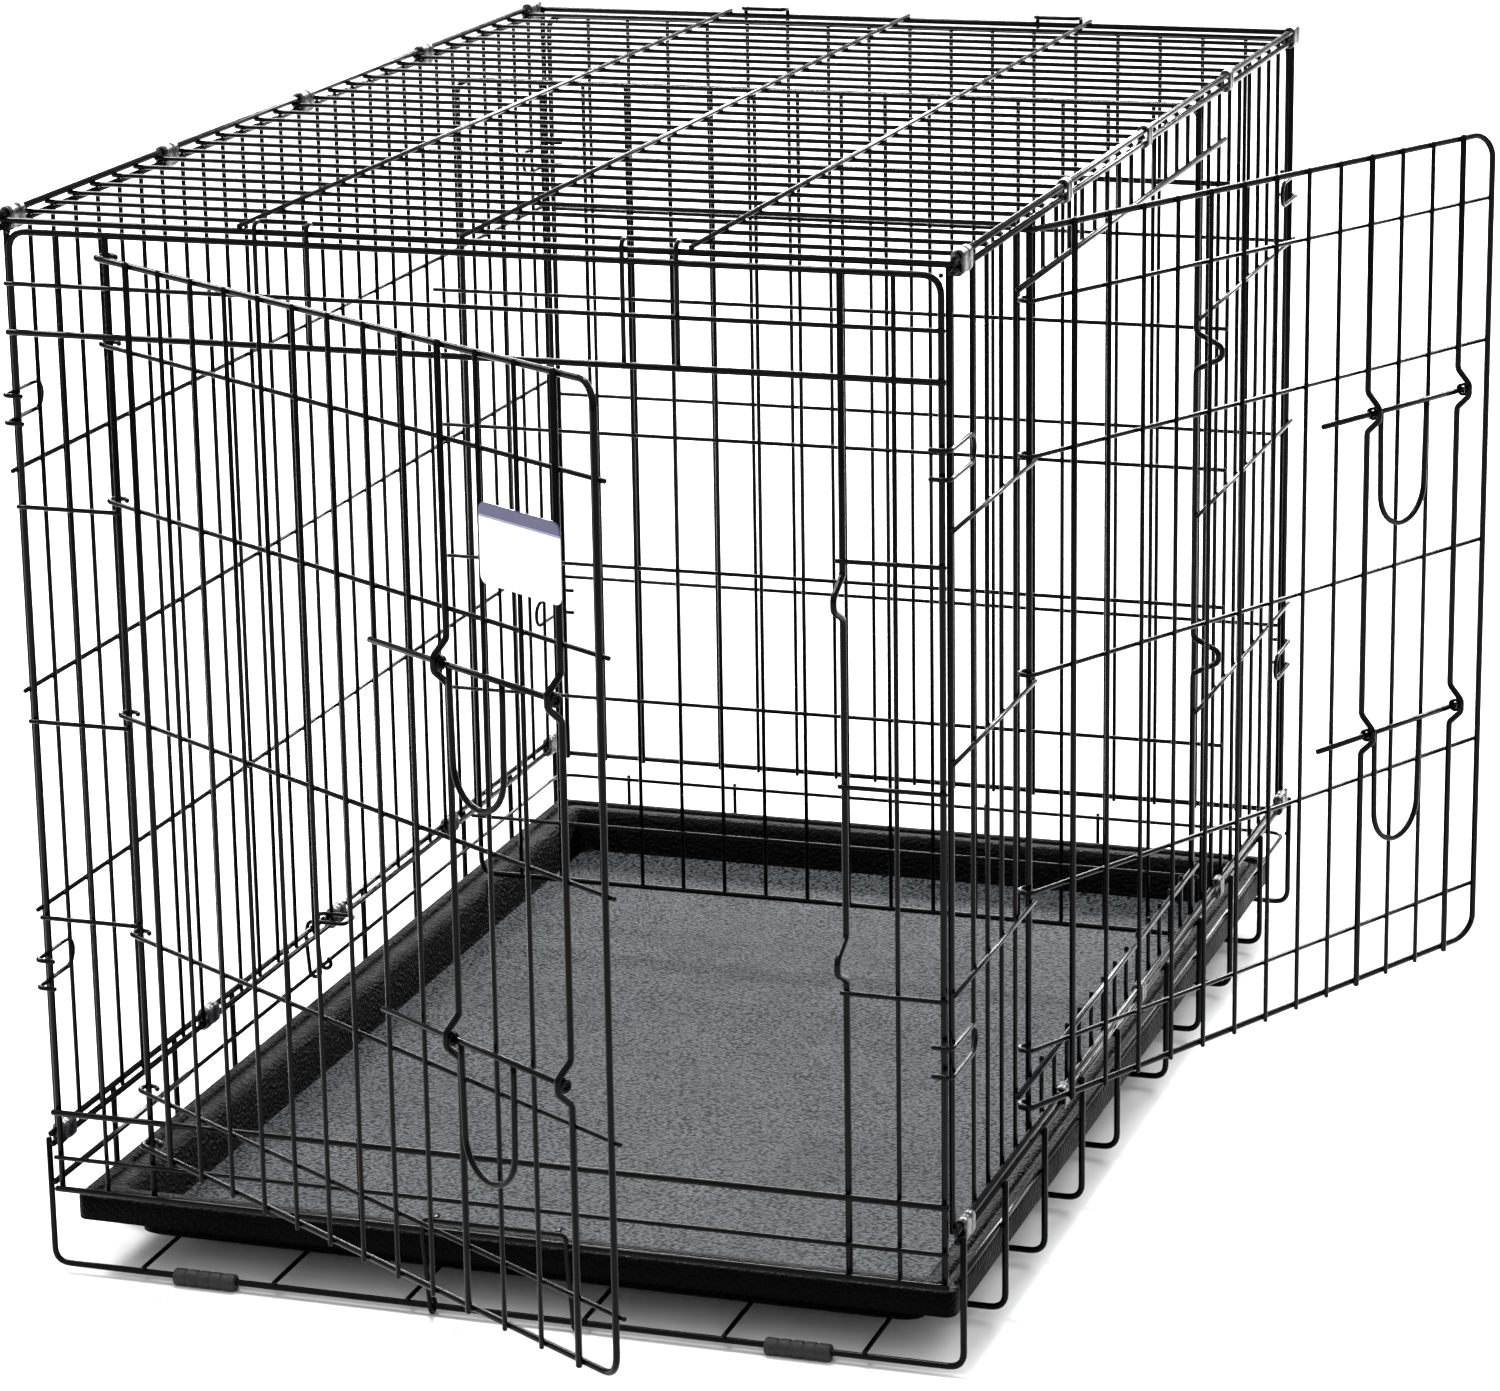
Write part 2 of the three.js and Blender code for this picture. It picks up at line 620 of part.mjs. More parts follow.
place("base_frame", makeBaseFrame(), blackWire);
place("left_side_panel", makeLeftPanel(), blackWire);
place("right_side_panel", makeRightPanel(), blackWire);
place("front_panel", makeFrontPanel(), blackWire);
place("back_panel", makeBackPanel(), blackWire);
place("top_panel", makeTopPanel(), blackWire);
place("divider_panel", makeDivider(), blackWire);
place("tray", makeTray(), trayPlastic);
place("tray_stop", makeTrayStop(), blackWire);
place("fold_hook", makeFoldHook(), blackWire);

const frontDoor = doorGroup(FRONT_DOORWAY.hinge, -END_GAP, -FRONT_DOOR.open);
const sideDoor = doorGroup(WIDTH - LAYER, SIDE_DOORWAY.hinge, 90 - SIDE_DOOR.open);
for (const [name, group, door] of [["front_door", frontDoor, FRONT_DOOR], ["side_door", sideDoor, SIDE_DOOR]]) {
  place(name, makeDoor(door), blackWire, group);
  place(`${name}_lower_bolt`, makeBolt(door, door.bolts[0]), blackWire, group);
  place(`${name}_upper_bolt`, makeBolt(door, door.bolts[1]), blackWire, group);
}
place("door_tag", makeTag(), tagCard, frontDoor);

const leftWires = range(30).map((n) => n * PITCH);
for (const [sideName, side, uprights] of [["left", -1, leftWires], ["right", 1, rightWires]]) {
  clipPlaces(uprights).forEach((gap, n) => {
    place(`top_${sideName}_clip_${n + 1}`, makeClip(side, gap, SIDE_TOP_Z), clipSteel);
    place(`bottom_${sideName}_clip_${n + 1}`, makeClip(side, gap, BASE_ROD_Z), clipSteel);
  });
}

for (const [end, y] of [["front", 0], ["back", LENGTH]]) {
  place(`${end}_left_foot`, makeFoot(-1, y), footRubber);
  place(`${end}_right_foot`, makeFoot(1, y), footRubber);
}

// The origin is under the middle of the crate as it stands, on the floor that the feet rest on.
crate.updateMatrixWorld(true);
const box = new THREE.Box3().setFromObject(crate, true);
const middle = box.getCenter(new THREE.Vector3());
crate.position.set(-middle.x, -middle.y, -box.min.z);

const model = new THREE.Group();
model.add(crate);
export default model;
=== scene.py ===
"""Looks of a folding wire dog crate: round coated wires, strap clips, a pebbled tray, feet and a tag.

Lengths are millimetres in the crate's own frame: X from the left side to the right, Y from the front
to the back, Z = 0 on the centre line of the lowest wires. ORIGIN places that frame in the row frame.
"""
import math

import bpy
from mathutils import Matrix, Vector


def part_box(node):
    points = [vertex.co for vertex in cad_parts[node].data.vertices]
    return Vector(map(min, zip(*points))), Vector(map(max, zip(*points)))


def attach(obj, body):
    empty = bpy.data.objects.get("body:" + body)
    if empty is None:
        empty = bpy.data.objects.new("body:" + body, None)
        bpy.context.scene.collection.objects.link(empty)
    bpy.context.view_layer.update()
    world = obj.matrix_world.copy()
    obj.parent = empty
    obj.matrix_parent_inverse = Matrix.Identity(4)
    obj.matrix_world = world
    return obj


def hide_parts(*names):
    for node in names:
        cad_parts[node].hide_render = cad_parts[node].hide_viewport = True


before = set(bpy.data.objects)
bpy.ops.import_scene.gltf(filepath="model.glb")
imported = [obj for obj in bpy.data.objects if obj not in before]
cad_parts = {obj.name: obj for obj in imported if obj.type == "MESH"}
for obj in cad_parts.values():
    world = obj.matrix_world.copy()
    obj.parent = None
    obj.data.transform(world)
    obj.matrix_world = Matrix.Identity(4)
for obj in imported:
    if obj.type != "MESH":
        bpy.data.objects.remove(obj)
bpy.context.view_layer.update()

# ---- the crate's dimensions ----------------------------------------------------------------------
MM = 0.001
SHARP_FROM = 42  # degrees between faces from which an edge looks sharp
WIDTH, LENGTH = 590.0, 914.0
THIN, HEAVY, BOLT_WIRE, KEEPER_WIRE = 1.5, 2.05, 1.9, 1.1  # radii of the coated wires
CAD_CORNER = 1.75 * math.sqrt(math.pi / 2)  # from centre to corner of the CAD's heavy bars, which are square
THIN_WELD, FRAME_WELD, BOLT_WELD, STOP_WELD = 0.85, 0.9, 1.1, 0.8  # size factors of the weld beads
DOME = 0.6  # how far a wire's domed end stands out, in wire radii
LAYER = 3.1  # between the centre lines of two layers of crossing wires
CAD_LAYER = 3.45  # the same in the CAD
PITCH = LENGTH / 29  # between the side panels' uprights
NUB, END_NUB = 4.0, 2.5  # how far rods run on past their last upright, on side panels and end panels
RUN_ON = 1.5  # the same for the top's and the base's long rods
OVERLAP = 2.0  # how far uprights run on past their last rod
CORNER = 12.0  # bend radius where nothing else is said

TOP_Z, ROD_GAP = 671.0, 7.5
TOP_RAIL_X, TOP_END_SHORT, TOP_CROSS_PAST = 155, 0.6, 1
TOP_END_Z = TOP_Z - 3.3
SIDE_TOP_Z = TOP_Z - ROD_GAP
SIDE_BOTTOM_Z = 88.0
BASE_ROD_Z = SIDE_BOTTOM_Z - ROD_GAP
SIDE_RODS_Z = (236, 377, 515)
RING_Z, RING_HEAVY_TO = 55.0, 200.0
CORNER_LOOP_LENGTH, CORNER_LOOP_OUT, CORNER_LOOP_REACH = 41.0, 5.8, 12.0
CORNER_LOOP_HEIGHTS = ((187, 205), (546, 563))

END_GAP = 4.2  # from the side panels' end uprights out to the end panels
END_LEFT_X = 6.5
END_RIGHT_X = WIDTH - END_LEFT_X
END_TOP_Z = 662.0
BACK_RODS_Z = (71, 217, 365, 512)
FRONT_HINGE_X, FRONT_JAMB_X, FRONT_LOW_Z, FRONT_HIGH_Z = 69.5, 524.0, 104.0, 601.5
FRONT_STUBS_Z = (232.5, 359, 494)
FRONT_LOW_RODS_Z = (53, 74)
FRONT_HIGH_ROD_Z = 631.0
FRONT_LOW_UPRIGHTS_X = (209, 374)
TOP_HOOKS_X = ((166, 199), (394, 427))
TOP_HOOK_INSIDE, TOP_HOOK_RISE = 5.0, 5.8
SIDE_HINGE_Y, SIDE_JAMB_Y, SIDE_LOW_Z, SIDE_HIGH_Z = 5.5 * PITCH, 19.5 * PITCH, 122.0, 627.0

FRONT_DOOR = {
    "pitch": 34.0,
    "rods": (88, 125, 227, 367.5, 501, 597, 649),
    "bolts": (253, 472),
    "bolt_start": 274,
    "turn": -31.8,
}
SIDE_DOOR = {
    "pitch": 32.0,
    "rods": (103.5, 141, 244, 383, 519, 614, 657),
    "bolts": (276, 492),
    "bolt_start": 268,
    "turn": 63.5,
}
DOOR_COLUMNS, DOOR_CORNER = 14, 16.0
HINGE_LOOP = 5.4  # radius of the loops that hold a door on its hinge wire
GUIDE_COLUMNS = (10, 13)
BOLT_STAND_OFF = 13.4  # from the hinge wire out to the bolts' centre lines
GUIDE_STAND_OFF = 18.0  # out to a guide's far run, from the hinge wire in a door and the upright in a jamb
GUIDE_FLAT, GUIDE_ENDS, GUIDE_BEND = 4.0, 13.0, 5.0
HANDLE_START, HANDLE_WIDTH, HANDLE_DROP = 8.0, 48.0, 79.0
HANDLE_SHOULDER, HANDLE_BOW = 12.0, 23.0

DIVIDER = {"y": 690, "left": 20, "right": 570, "low": 44.5, "high": 648}
DIVIDER_RODS_Z = (90, 190, 292, 392, 493, 595)
DIVIDER_PAST_SIDE, DIVIDER_PAST_FRAME = 2, 5
TRAY = {"left": 6, "right": 584, "front": 13, "back": 897, "low": 6.2, "high": 41, "lip": 29, "skirt": 16}
TRAY_FLOOR_BELOW, TRAY_RIM_ABOVE = 0.020, 0.024  # in the row frame, in metres
STOP = {"left": 253, "right": 347, "reach": 12.5, "height": 62, "bend": 14, "hooks_in": 7}
EYE = 4.0  # radius of the eyes on the stop's and the hook's legs
FOLD_HOOK = {"front": 416, "back": 435, "reach": 6, "over": 24, "top": 92.1, "bend": 12}
FOOT = {"from_centre": 195, "length": 42, "low": -6, "high": 4.8}
TAG = {"from": 378, "to": 449, "low": 524.5, "high": 570, "thick": 1.0, "corner": 5.0}
TAG_OUT = 11.943275  # from the hinge wire out to the card's middle, clear of the door's uprights
BASE_OUT, BASE_PAST_ROD = CAD_LAYER, 2.5
FLOOR_BARS_Y = [94.0 * n for n in (1, 2, 3, 4)] + [515 + 99.75 * n for n in range(4)]
FLOOR_RAILS_X = [WIDTH / 2 + x for x in (-237, -148, -58, 58, 148, 237)]
CROSS_WIRES = [n * PITCH for n in range(1, 29)]
RIGHT_WIRES = [0.0] + [(n + 1.5) * PITCH for n in range(27)] + [LENGTH]


def crate_origin():
    """The crate's own origin in the row frame, from three CAD pieces whose places in the crate are known."""
    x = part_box("left_side_panel")[0].x + CAD_CORNER * MM
    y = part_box("top_panel")[0].y + CAD_CORNER * MM
    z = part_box("front_left_foot")[0].z - FOOT["low"] * MM
    return Vector((x, y, z))


ORIGIN = crate_origin()


# ---- meshes --------------------------------------------------------------------------------------
class Shell:
    """Vertices and faces of one piece, collected from several swept or turned parts."""

    def __init__(self, turn=0.0, at=(0.0, 0.0, 0.0)):
        self.points = []
        self.faces = []
        self.place = Matrix.Translation(Vector(at)) @ Matrix.Rotation(math.radians(turn), 4, "Z")

    def ring(self, centre, across, up, radius, sides):
        start = len(self.points)
        for n in range(sides):
            angle = 2 * math.pi * n / sides
            self.points.append(centre + (across * math.cos(angle) + up * math.sin(angle)) * radius)
        return start

    def bridge(self, a, b, sides):
        for n in range(sides):
            m = (n + 1) % sides
            self.faces.append((a + n, a + m, b + m, b + n))

    def wire(self, radius, points, sides=10):
        """A round wire through the points, with domed ends."""
        path = [Vector(p) for p in points]
        path = [p for n, p in enumerate(path) if n == 0 or (p - path[n - 1]).length > 0.02]
        heading = (path[1] - path[0]).normalized()
        across = heading.orthogonal().normalized()
        rings = []
        for back, share in ((1.0, 0.35), (0.72, 0.7), (0.0, 1.0)):
            centre = path[0] + heading * radius * (-back * DOME)
            rings.append(self.ring(centre, across, heading.cross(across), radius * share, sides))
        for n in range(1, len(path)):
            before = (path[n] - path[n - 1]).normalized()
            after = (path[n + 1] - path[n]).normalized() if n + 1 < len(path) else before
            middle = (before + after).normalized()
            across = (across - middle * across.dot(middle)).normalized()
            stretch = 1 / max(math.sqrt((1 + before.dot(after)) / 2), 0.5)
            fold = before.cross(after)
            up = middle.cross(across)
            start = len(self.points)
            side = fold.normalized().cross(middle) if fold.length > 1e-6 else None
            for k in range(sides):
                angle = 2 * math.pi * k / sides
                offset = (across * math.cos(angle) + up * math.sin(angle)) * radius
                if side is not None:
                    offset += side * offset.dot(side) * (stretch - 1)
                self.points.append(path[n] + offset)
            rings.append(start)
        last = (path[-1] - path[-2]).normalized()
        for ahead, share in ((0.72, 0.7), (1.0, 0.35)):
            centre = path[-1] + last * radius * ahead * DOME
            rings.append(self.ring(centre, across, last.cross(across), radius * share, sides))
        for a, b in zip(rings, rings[1:]):
            self.bridge(a, b, sides)
        self.faces.append(tuple(rings[0] + n for n in reversed(range(sides))))
        self.faces.append(tuple(rings[-1] + n for n in range(sides)))

    def weld(self, centre, normal, size=1.0, sides=8):
        """The small swollen bead that a spot weld leaves between two crossing wires."""
        axis = Vector(normal).normalized()
        across = axis.orthogonal().normalized()
        up = axis.cross(across)
        middle = Vector(centre)
        rings = []
        for height, spread in ((-1.5, 0.75), (-0.9, 1.5), (0.0, 1.75), (0.9, 1.5), (1.5, 0.75)):
            rings.append(self.ring(middle + axis * height * size, across, up, spread * size, sides))
        for a, b in zip(rings, rings[1:]):
            self.bridge(a, b, sides)
        self.faces.append(tuple(rings[0] + n for n in reversed(range(sides))))
        self.faces.append(tuple(rings[-1] + n for n in range(sides)))

    def patch(self, rows):
        """A surface through rows of points, each row a closed loop."""
        starts = []
        for row in rows:
            starts.append(len(self.points))
            self.points.extend(Vector(p) for p in row)
        count = len(rows[0])
        for a, b in zip(starts, starts[1:]):
            for n in range(count):
                m = (n + 1) % count
                self.faces.append((a + n, a + m, b + m, b + n))
        return starts

    def build(self, name, body, replaced, slot, material, smooth=True):
        mesh = bpy.data.meshes.new(name)
        mesh.from_pydata([self.place @ p * MM + ORIGIN for p in self.points], [], self.faces)
        mesh.validate()
        mesh.update()
        if smooth:
            mesh.shade_smooth()
            mesh.set_sharp_from_angle(angle=math.radians(SHARP_FROM))
        piece = bpy.data.objects.new(name, mesh)
        bpy.context.scene.collection.objects.link(piece)
        piece.data.materials.append(material)
        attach(piece, body)
        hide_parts(*replaced)
        return piece


def rounded(points, radius=CORNER, steps=6):
    """The polyline with its inner corners bent to a radius."""
    path = [Vector(p) for p in points]
    out = [path[0]]
    for before, corner, after in zip(path, path[1:], path[2:]):
        back, ahead = before - corner, after - corner
        half = back.angle(ahead) / 2
        reach = min(radius / math.tan(half), back.length * 0.5, ahead.length * 0.5)
        start = corner + back.normalized() * reach
        end = corner + ahead.normalized() * reach
        for n in range(steps + 1):
            t = n / steps
            out.append(start * (1 - t) ** 2 + corner * 2 * t * (1 - t) + end * t * t)
    out.append(path[-1])
    return out


def arc(centre, radius, start, end, place, steps=12):
    """Points on a circle. place makes a point from its two coordinates in the circle's plane."""
    out = []
    for n in range(steps + 1):
        angle = math.radians(start + (end - start) * n / steps)
        out.append(place(centre[0] + radius * math.cos(angle), centre[1] + radius * math.sin(angle)))
    return out


# ---- materials -----------------------------------------------------------------------------------
class Nodes:
    """A small helper that adds and links the nodes of one procedural material."""

    def __init__(self, name):
        self.material = bpy.data.materials.new(name)
        self.material.use_nodes = True
        self.tree = self.material.node_tree
        self.shader = self.tree.nodes["Principled BSDF"]
        self.coordinates = self.tree.nodes.new("ShaderNodeTexCoord")

    def add(self, kind, **inputs):
        node = self.tree.nodes.new(kind)
        for key, value in inputs.items():
            if isinstance(value, bpy.types.NodeSocket):
                self.tree.links.new(value, node.inputs[key])
            else:
                node.inputs[key].default_value = value
        return node

    def noise(self, scale, detail=2.0, rough=0.5):
        node = self.add("ShaderNodeTexNoise", Scale=scale, Detail=detail, Roughness=rough)
        self.tree.links.new(self.coordinates.outputs["Object"], node.inputs["Vector"])
        return node.outputs["Fac"]

    def ramp(self, source, low, high, at_low, at_high):
        """Maps source from low..high to at_low..at_high."""
        node = self.tree.nodes.new("ShaderNodeMapRange")
        self.tree.links.new(source, node.inputs["Value"])
        node.inputs["From Min"].default_value = low
        node.inputs["From Max"].default_value = high
        node.inputs["To Min"].default_value = at_low
        node.inputs["To Max"].default_value = at_high
        return node.outputs["Result"]

    def mix(self, amount, first, second):
        node = self.tree.nodes.new("ShaderNodeMix")
        node.data_type = "RGBA"
        self.tree.links.new(amount, node.inputs["Factor"])
        for key, value in ((6, first), (7, second)):
            if isinstance(value, bpy.types.NodeSocket):
                self.tree.links.new(value, node.inputs[key])
            else:
                node.inputs[key].default_value = (*value, 1)
        return node.outputs[2]

    def bump(self, height, strength, distance, onto=None):
        node = self.add("ShaderNodeBump", Strength=strength, Distance=distance, Height=height)
        if onto is not None:
            self.tree.links.new(onto, node.inputs["Normal"])
        return node.outputs["Normal"]

    def into(self, **inputs):
        for key, value in inputs.items():
            socket = self.shader.inputs[key.replace("_", " ")]
            if isinstance(value, bpy.types.NodeSocket):
                self.tree.links.new(value, socket)
            else:
                socket.default_value = value
        return self.material


def coated_wire():
    """Black dip coat on steel wire: glossy, with orange peel, faint dust and slightly worn gloss."""
    n = Nodes("black_dip_coat")
    dust = n.ramp(n.noise(42.0, 4.0, 0.6), 0.5, 0.85, 0.0, 1.0)
    colour = n.mix(dust, (0.0006, 0.0006, 0.0007), (0.002, 0.002, 0.0022))
    rough = n.ramp(n.noise(160.0, 3.0), 0.3, 0.7, 0.12, 0.24)
    peel = n.bump(n.noise(900.0, 2.0), 0.1, 0.0005)
    sag = n.bump(n.noise(95.0, 1.0), 0.2, 0.0005, peel)
    n.into(Base_Color=colour, Roughness=rough, Normal=sag)
    return n.into(Specular_IOR_Level=0.08)


def clip_strap():
    """Dark coated strip steel, with a fine grain and paler patches where it is worn."""
    n = Nodes("clip_strap_steel")
    wear = n.ramp(n.noise(240.0, 4.0, 0.65), 0.4, 0.7, 0.0, 1.0)
    colour = n.mix(wear, (0.02, 0.02, 0.022), (0.16, 0.16, 0.165))
    rough = n.ramp(n.noise(500.0, 2.0), 0.3, 0.7, 0.24, 0.42)
    n.into(Base_Color=colour, Roughness=rough, Normal=n.bump(n.noise(700.0, 3.0), 0.2, 0.0004))
    return n.into(Metallic=0.9)


def tray_plastic():
    """Black moulded plastic: a pebbled floor painted paler, with painted highlights on its pebbles, inside
    nearly black walls and rim; faces that look up are painted lighter than the walls, as light from above
    would make them.
    """
    n = Nodes("tray_pebbled_plastic")
    where = n.coordinates.outputs["Object"]
    cells = n.add("ShaderNodeTexVoronoi", Vector=where, Scale=430.0, Randomness=1.0)
    cells.feature = "SMOOTH_F1"
    fine = n.add("ShaderNodeTexVoronoi", Vector=where, Scale=620.0, Randomness=1.0)
    facing = n.add("ShaderNodeSeparateXYZ", Vector=n.add("ShaderNodeNewGeometry").outputs["True Normal"])
    # painted light and shade: faces that look up are painted paler and the walls darker, as light from above
    # would fall on them
    level = n.ramp(facing.outputs["Z"], 0.75, 0.95, 0.0, 1.0)
    height = n.add("ShaderNodeSeparateXYZ", Vector=where).outputs["Z"]
    above_floor = n.ramp(height, TRAY_FLOOR_BELOW, TRAY_RIM_ABOVE, 0.0, 1.0)
    # the near black colour of faces that don't look up, a painted shade on the walls
    shaded_wall = (0.0003, 0.0003, 0.0004)
    # painted light: the rim's top, which looks up, is painted paler than its sides
    rim = n.mix(level, shaded_wall, (0.006, 0.006, 0.0065))
    # painted highlights: the middle of each pebble cell is painted pale, as light catching the pebbles'
    # tops, with painted shade between them
    pebble_highlight_mask = n.ramp(cells.outputs["Distance"], 0.2, 0.62, 1.0, 0.0)
    painted_pebble_highlights = n.mix(pebble_highlight_mask, (0.0015, 0.0016, 0.0018), (0.088, 0.096, 0.105))
    # random clouding over the floor, laid on the painted pebble highlights
    cloud = n.mix(n.ramp(n.noise(9.0, 5.0, 0.6), 0.35, 0.7, 0.0, 0.3), painted_pebble_highlights, (0.02, 0.021, 0.023))
    colour = n.mix(above_floor, n.mix(level, shaded_wall, cloud), rim)
    rough = n.ramp(n.noise(30.0, 4.0, 0.6), 0.3, 0.7, 0.42, 0.56)
    pebble = n.bump(cells.outputs["Distance"], 0.8, 0.0016)
    grain = n.bump(fine.outputs["Distance"], 0.35, 0.0006, pebble)
    n.into(Base_Color=colour, Roughness=rough, Normal=grain)
    return n.into(Specular_IOR_Level=0.03)


def foot_rubber():
    """Matt black rubber, paler where dust sits in its grain."""
    n = Nodes("foot_rubber")
    dust = n.ramp(n.noise(210.0, 5.0, 0.7), 0.45, 0.75, 0.0, 1.0)
    n.into(
        Base_Color=n.mix(dust, (0.002, 0.002, 0.002), (0.009, 0.009, 0.0085)),
        Roughness=n.ramp(n.noise(420.0, 3.0), 0.3, 0.7, 0.55, 0.78),
        Normal=n.bump(n.noise(1300.0, 3.0), 0.3, 0.0005),
    )
    return n.material


def tag_card():
    """A coated white card with one plain band along its top, paler along the band's lower edge."""
    n = Nodes("tag_printed_card")
    split = n.add("ShaderNodeSeparateXYZ", Vector=n.coordinates.outputs["UV"])
    up = split.outputs["Y"]
    paper = n.mix(n.ramp(n.noise(260.0, 4.0), 0.3, 0.7, 0.0, 1.0), (0.80, 0.81, 0.86), (0.88, 0.88, 0.92))
    band = n.mix(n.ramp(up, 0.84, 0.845, 0.0, 1.0), paper, (0.022, 0.018, 0.1))
    edge = n.mix(n.ramp(up, 0.815, 0.82, 0.0, 1.0), paper, (0.2, 0.21, 0.4))
    printed = n.mix(n.ramp(up, 0.84, 0.845, 0.0, 1.0), edge, band)
    n.into(Base_Color=printed, Roughness=n.ramp(n.noise(90.0, 3.0), 0.3, 0.7, 0.25, 0.4))
    n.into(Normal=n.bump(n.noise(1500.0, 2.0), 0.08, 0.0003))
    return n.into(Coat_Weight=0.3)


WIRE = coated_wire()
STRAP = clip_strap()
PLASTIC = tray_plastic()
RUBBER = foot_rubber()
CARD = tag_card()


def wires_of(shell, name, body, replaced):
    shell.build(name, body, replaced, "black_wire", WIRE)


# ---- panels --------------------------------------------------------------------------------------
def grid_welds(shell, places, normal, size=1.0):
    for place in places:
        shell.weld(place, normal, size)


def top_panel():
    shell = Shell()
    for x in (0, WIDTH):
        shell.wire(HEAVY, [(x, -RUN_ON, TOP_Z), (x, LENGTH + RUN_ON, TOP_Z)])
    for y in (0, LENGTH):
        shell.wire(HEAVY, [(TOP_END_SHORT, y, TOP_END_Z), (WIDTH - TOP_END_SHORT, y, TOP_END_Z)])
    rails = (0, TOP_RAIL_X, WIDTH / 2, WIDTH - TOP_RAIL_X, WIDTH)
    for x in rails:
        grid_welds(shell, [(x, y, TOP_Z - LAYER / 2) for y in (0, LENGTH)], (0, 0, 1))
    for x in rails[1:-1]:
        shell.wire(THIN, [(x, -RUN_ON, TOP_Z), (x, LENGTH + RUN_ON, TOP_Z)])
    for y in CROSS_WIRES:
        z = TOP_Z - LAYER
        shell.wire(THIN, [(-TOP_CROSS_PAST, y, z), (WIDTH + TOP_CROSS_PAST, y, z)])
        grid_welds(shell, [(x, y, TOP_Z - LAYER / 2) for x in rails], (0, 0, 1), THIN_WELD)
    wires_of(shell, "top_panel_wires", "crate", ["top_panel"])


def corner_loops(shell, side):
    """D-shaped loops on a side panel, whose ends reach round the end panels' corner uprights."""
    rod_x = WIDTH if side > 0 else 0
    in_x = rod_x - side * CORNER_LOOP_REACH
    for end, edge_y in ((-1, 0), (1, LENGTH)):
        round_y = edge_y - end * CORNER_LOOP_LENGTH
        out_y = edge_y + end * (END_GAP + CORNER_LOOP_OUT)
        for low, high in CORNER_LOOP_HEIGHTS:
            half = (high - low) / 2

            def on_rod(a, b):
                return (rod_x, round_y - end * (a - half), b)

            turn = arc((0, (low + high) / 2), half, 90, -90, on_rod, 12)
            upper = rounded([(in_x, out_y, high), (rod_x, out_y, high), turn[0]], 4)
            lower = rounded([turn[-1], (rod_x, out_y, low), (in_x, out_y, low)], 4)
            shell.wire(THIN, upper[:-1] + turn + lower[1:])
            places = [(rod_x - side * LAYER / 2, edge_y, z) for z in (low, high)]
            grid_welds(shell, places, (1, 0, 0), FRAME_WELD)


def side_rod(shell, x, z, radius=THIN, low=0.0, high=LENGTH):
    shell.wire(radius, [(x, low - NUB, z), (x, high + NUB, z)])


def left_side_panel():
    shell = Shell()
    heights = (SIDE_BOTTOM_Z, *SIDE_RODS_Z, SIDE_TOP_Z)
    for z in heights:
        side_rod(shell, 0, z, HEAVY if z in (SIDE_BOTTOM_Z, SIDE_TOP_Z) else THIN)
    for n in range(30):
        radius = HEAVY if n in (0, 29) else THIN
        y = n * PITCH
        shell.wire(radius, [(LAYER, y, SIDE_BOTTOM_Z - OVERLAP), (LAYER, y, SIDE_TOP_Z + OVERLAP)])
        grid_welds(shell, [(LAYER / 2, y, z) for z in heights], (1, 0, 0), THIN_WELD)
    corner_loops(shell, -1)
    wires_of(shell, "left_side_panel_wires", "crate", ["left_side_panel"])


def jamb(shell, place, along, low, high, bolts):
    """A doorway's closing upright, bent out into a loop where each bolt goes in."""
    corners = [place(along, 0, low)]
    for z in bolts:
        corners += [place(along, 0, z - GUIDE_ENDS), place(along, GUIDE_STAND_OFF, z - GUIDE_FLAT)]
        corners += [place(along, GUIDE_STAND_OFF, z + GUIDE_FLAT), place(along, 0, z + GUIDE_ENDS)]
    corners.append(place(along, 0, high))
    shell.wire(HEAVY, rounded(corners, GUIDE_BEND), 12)


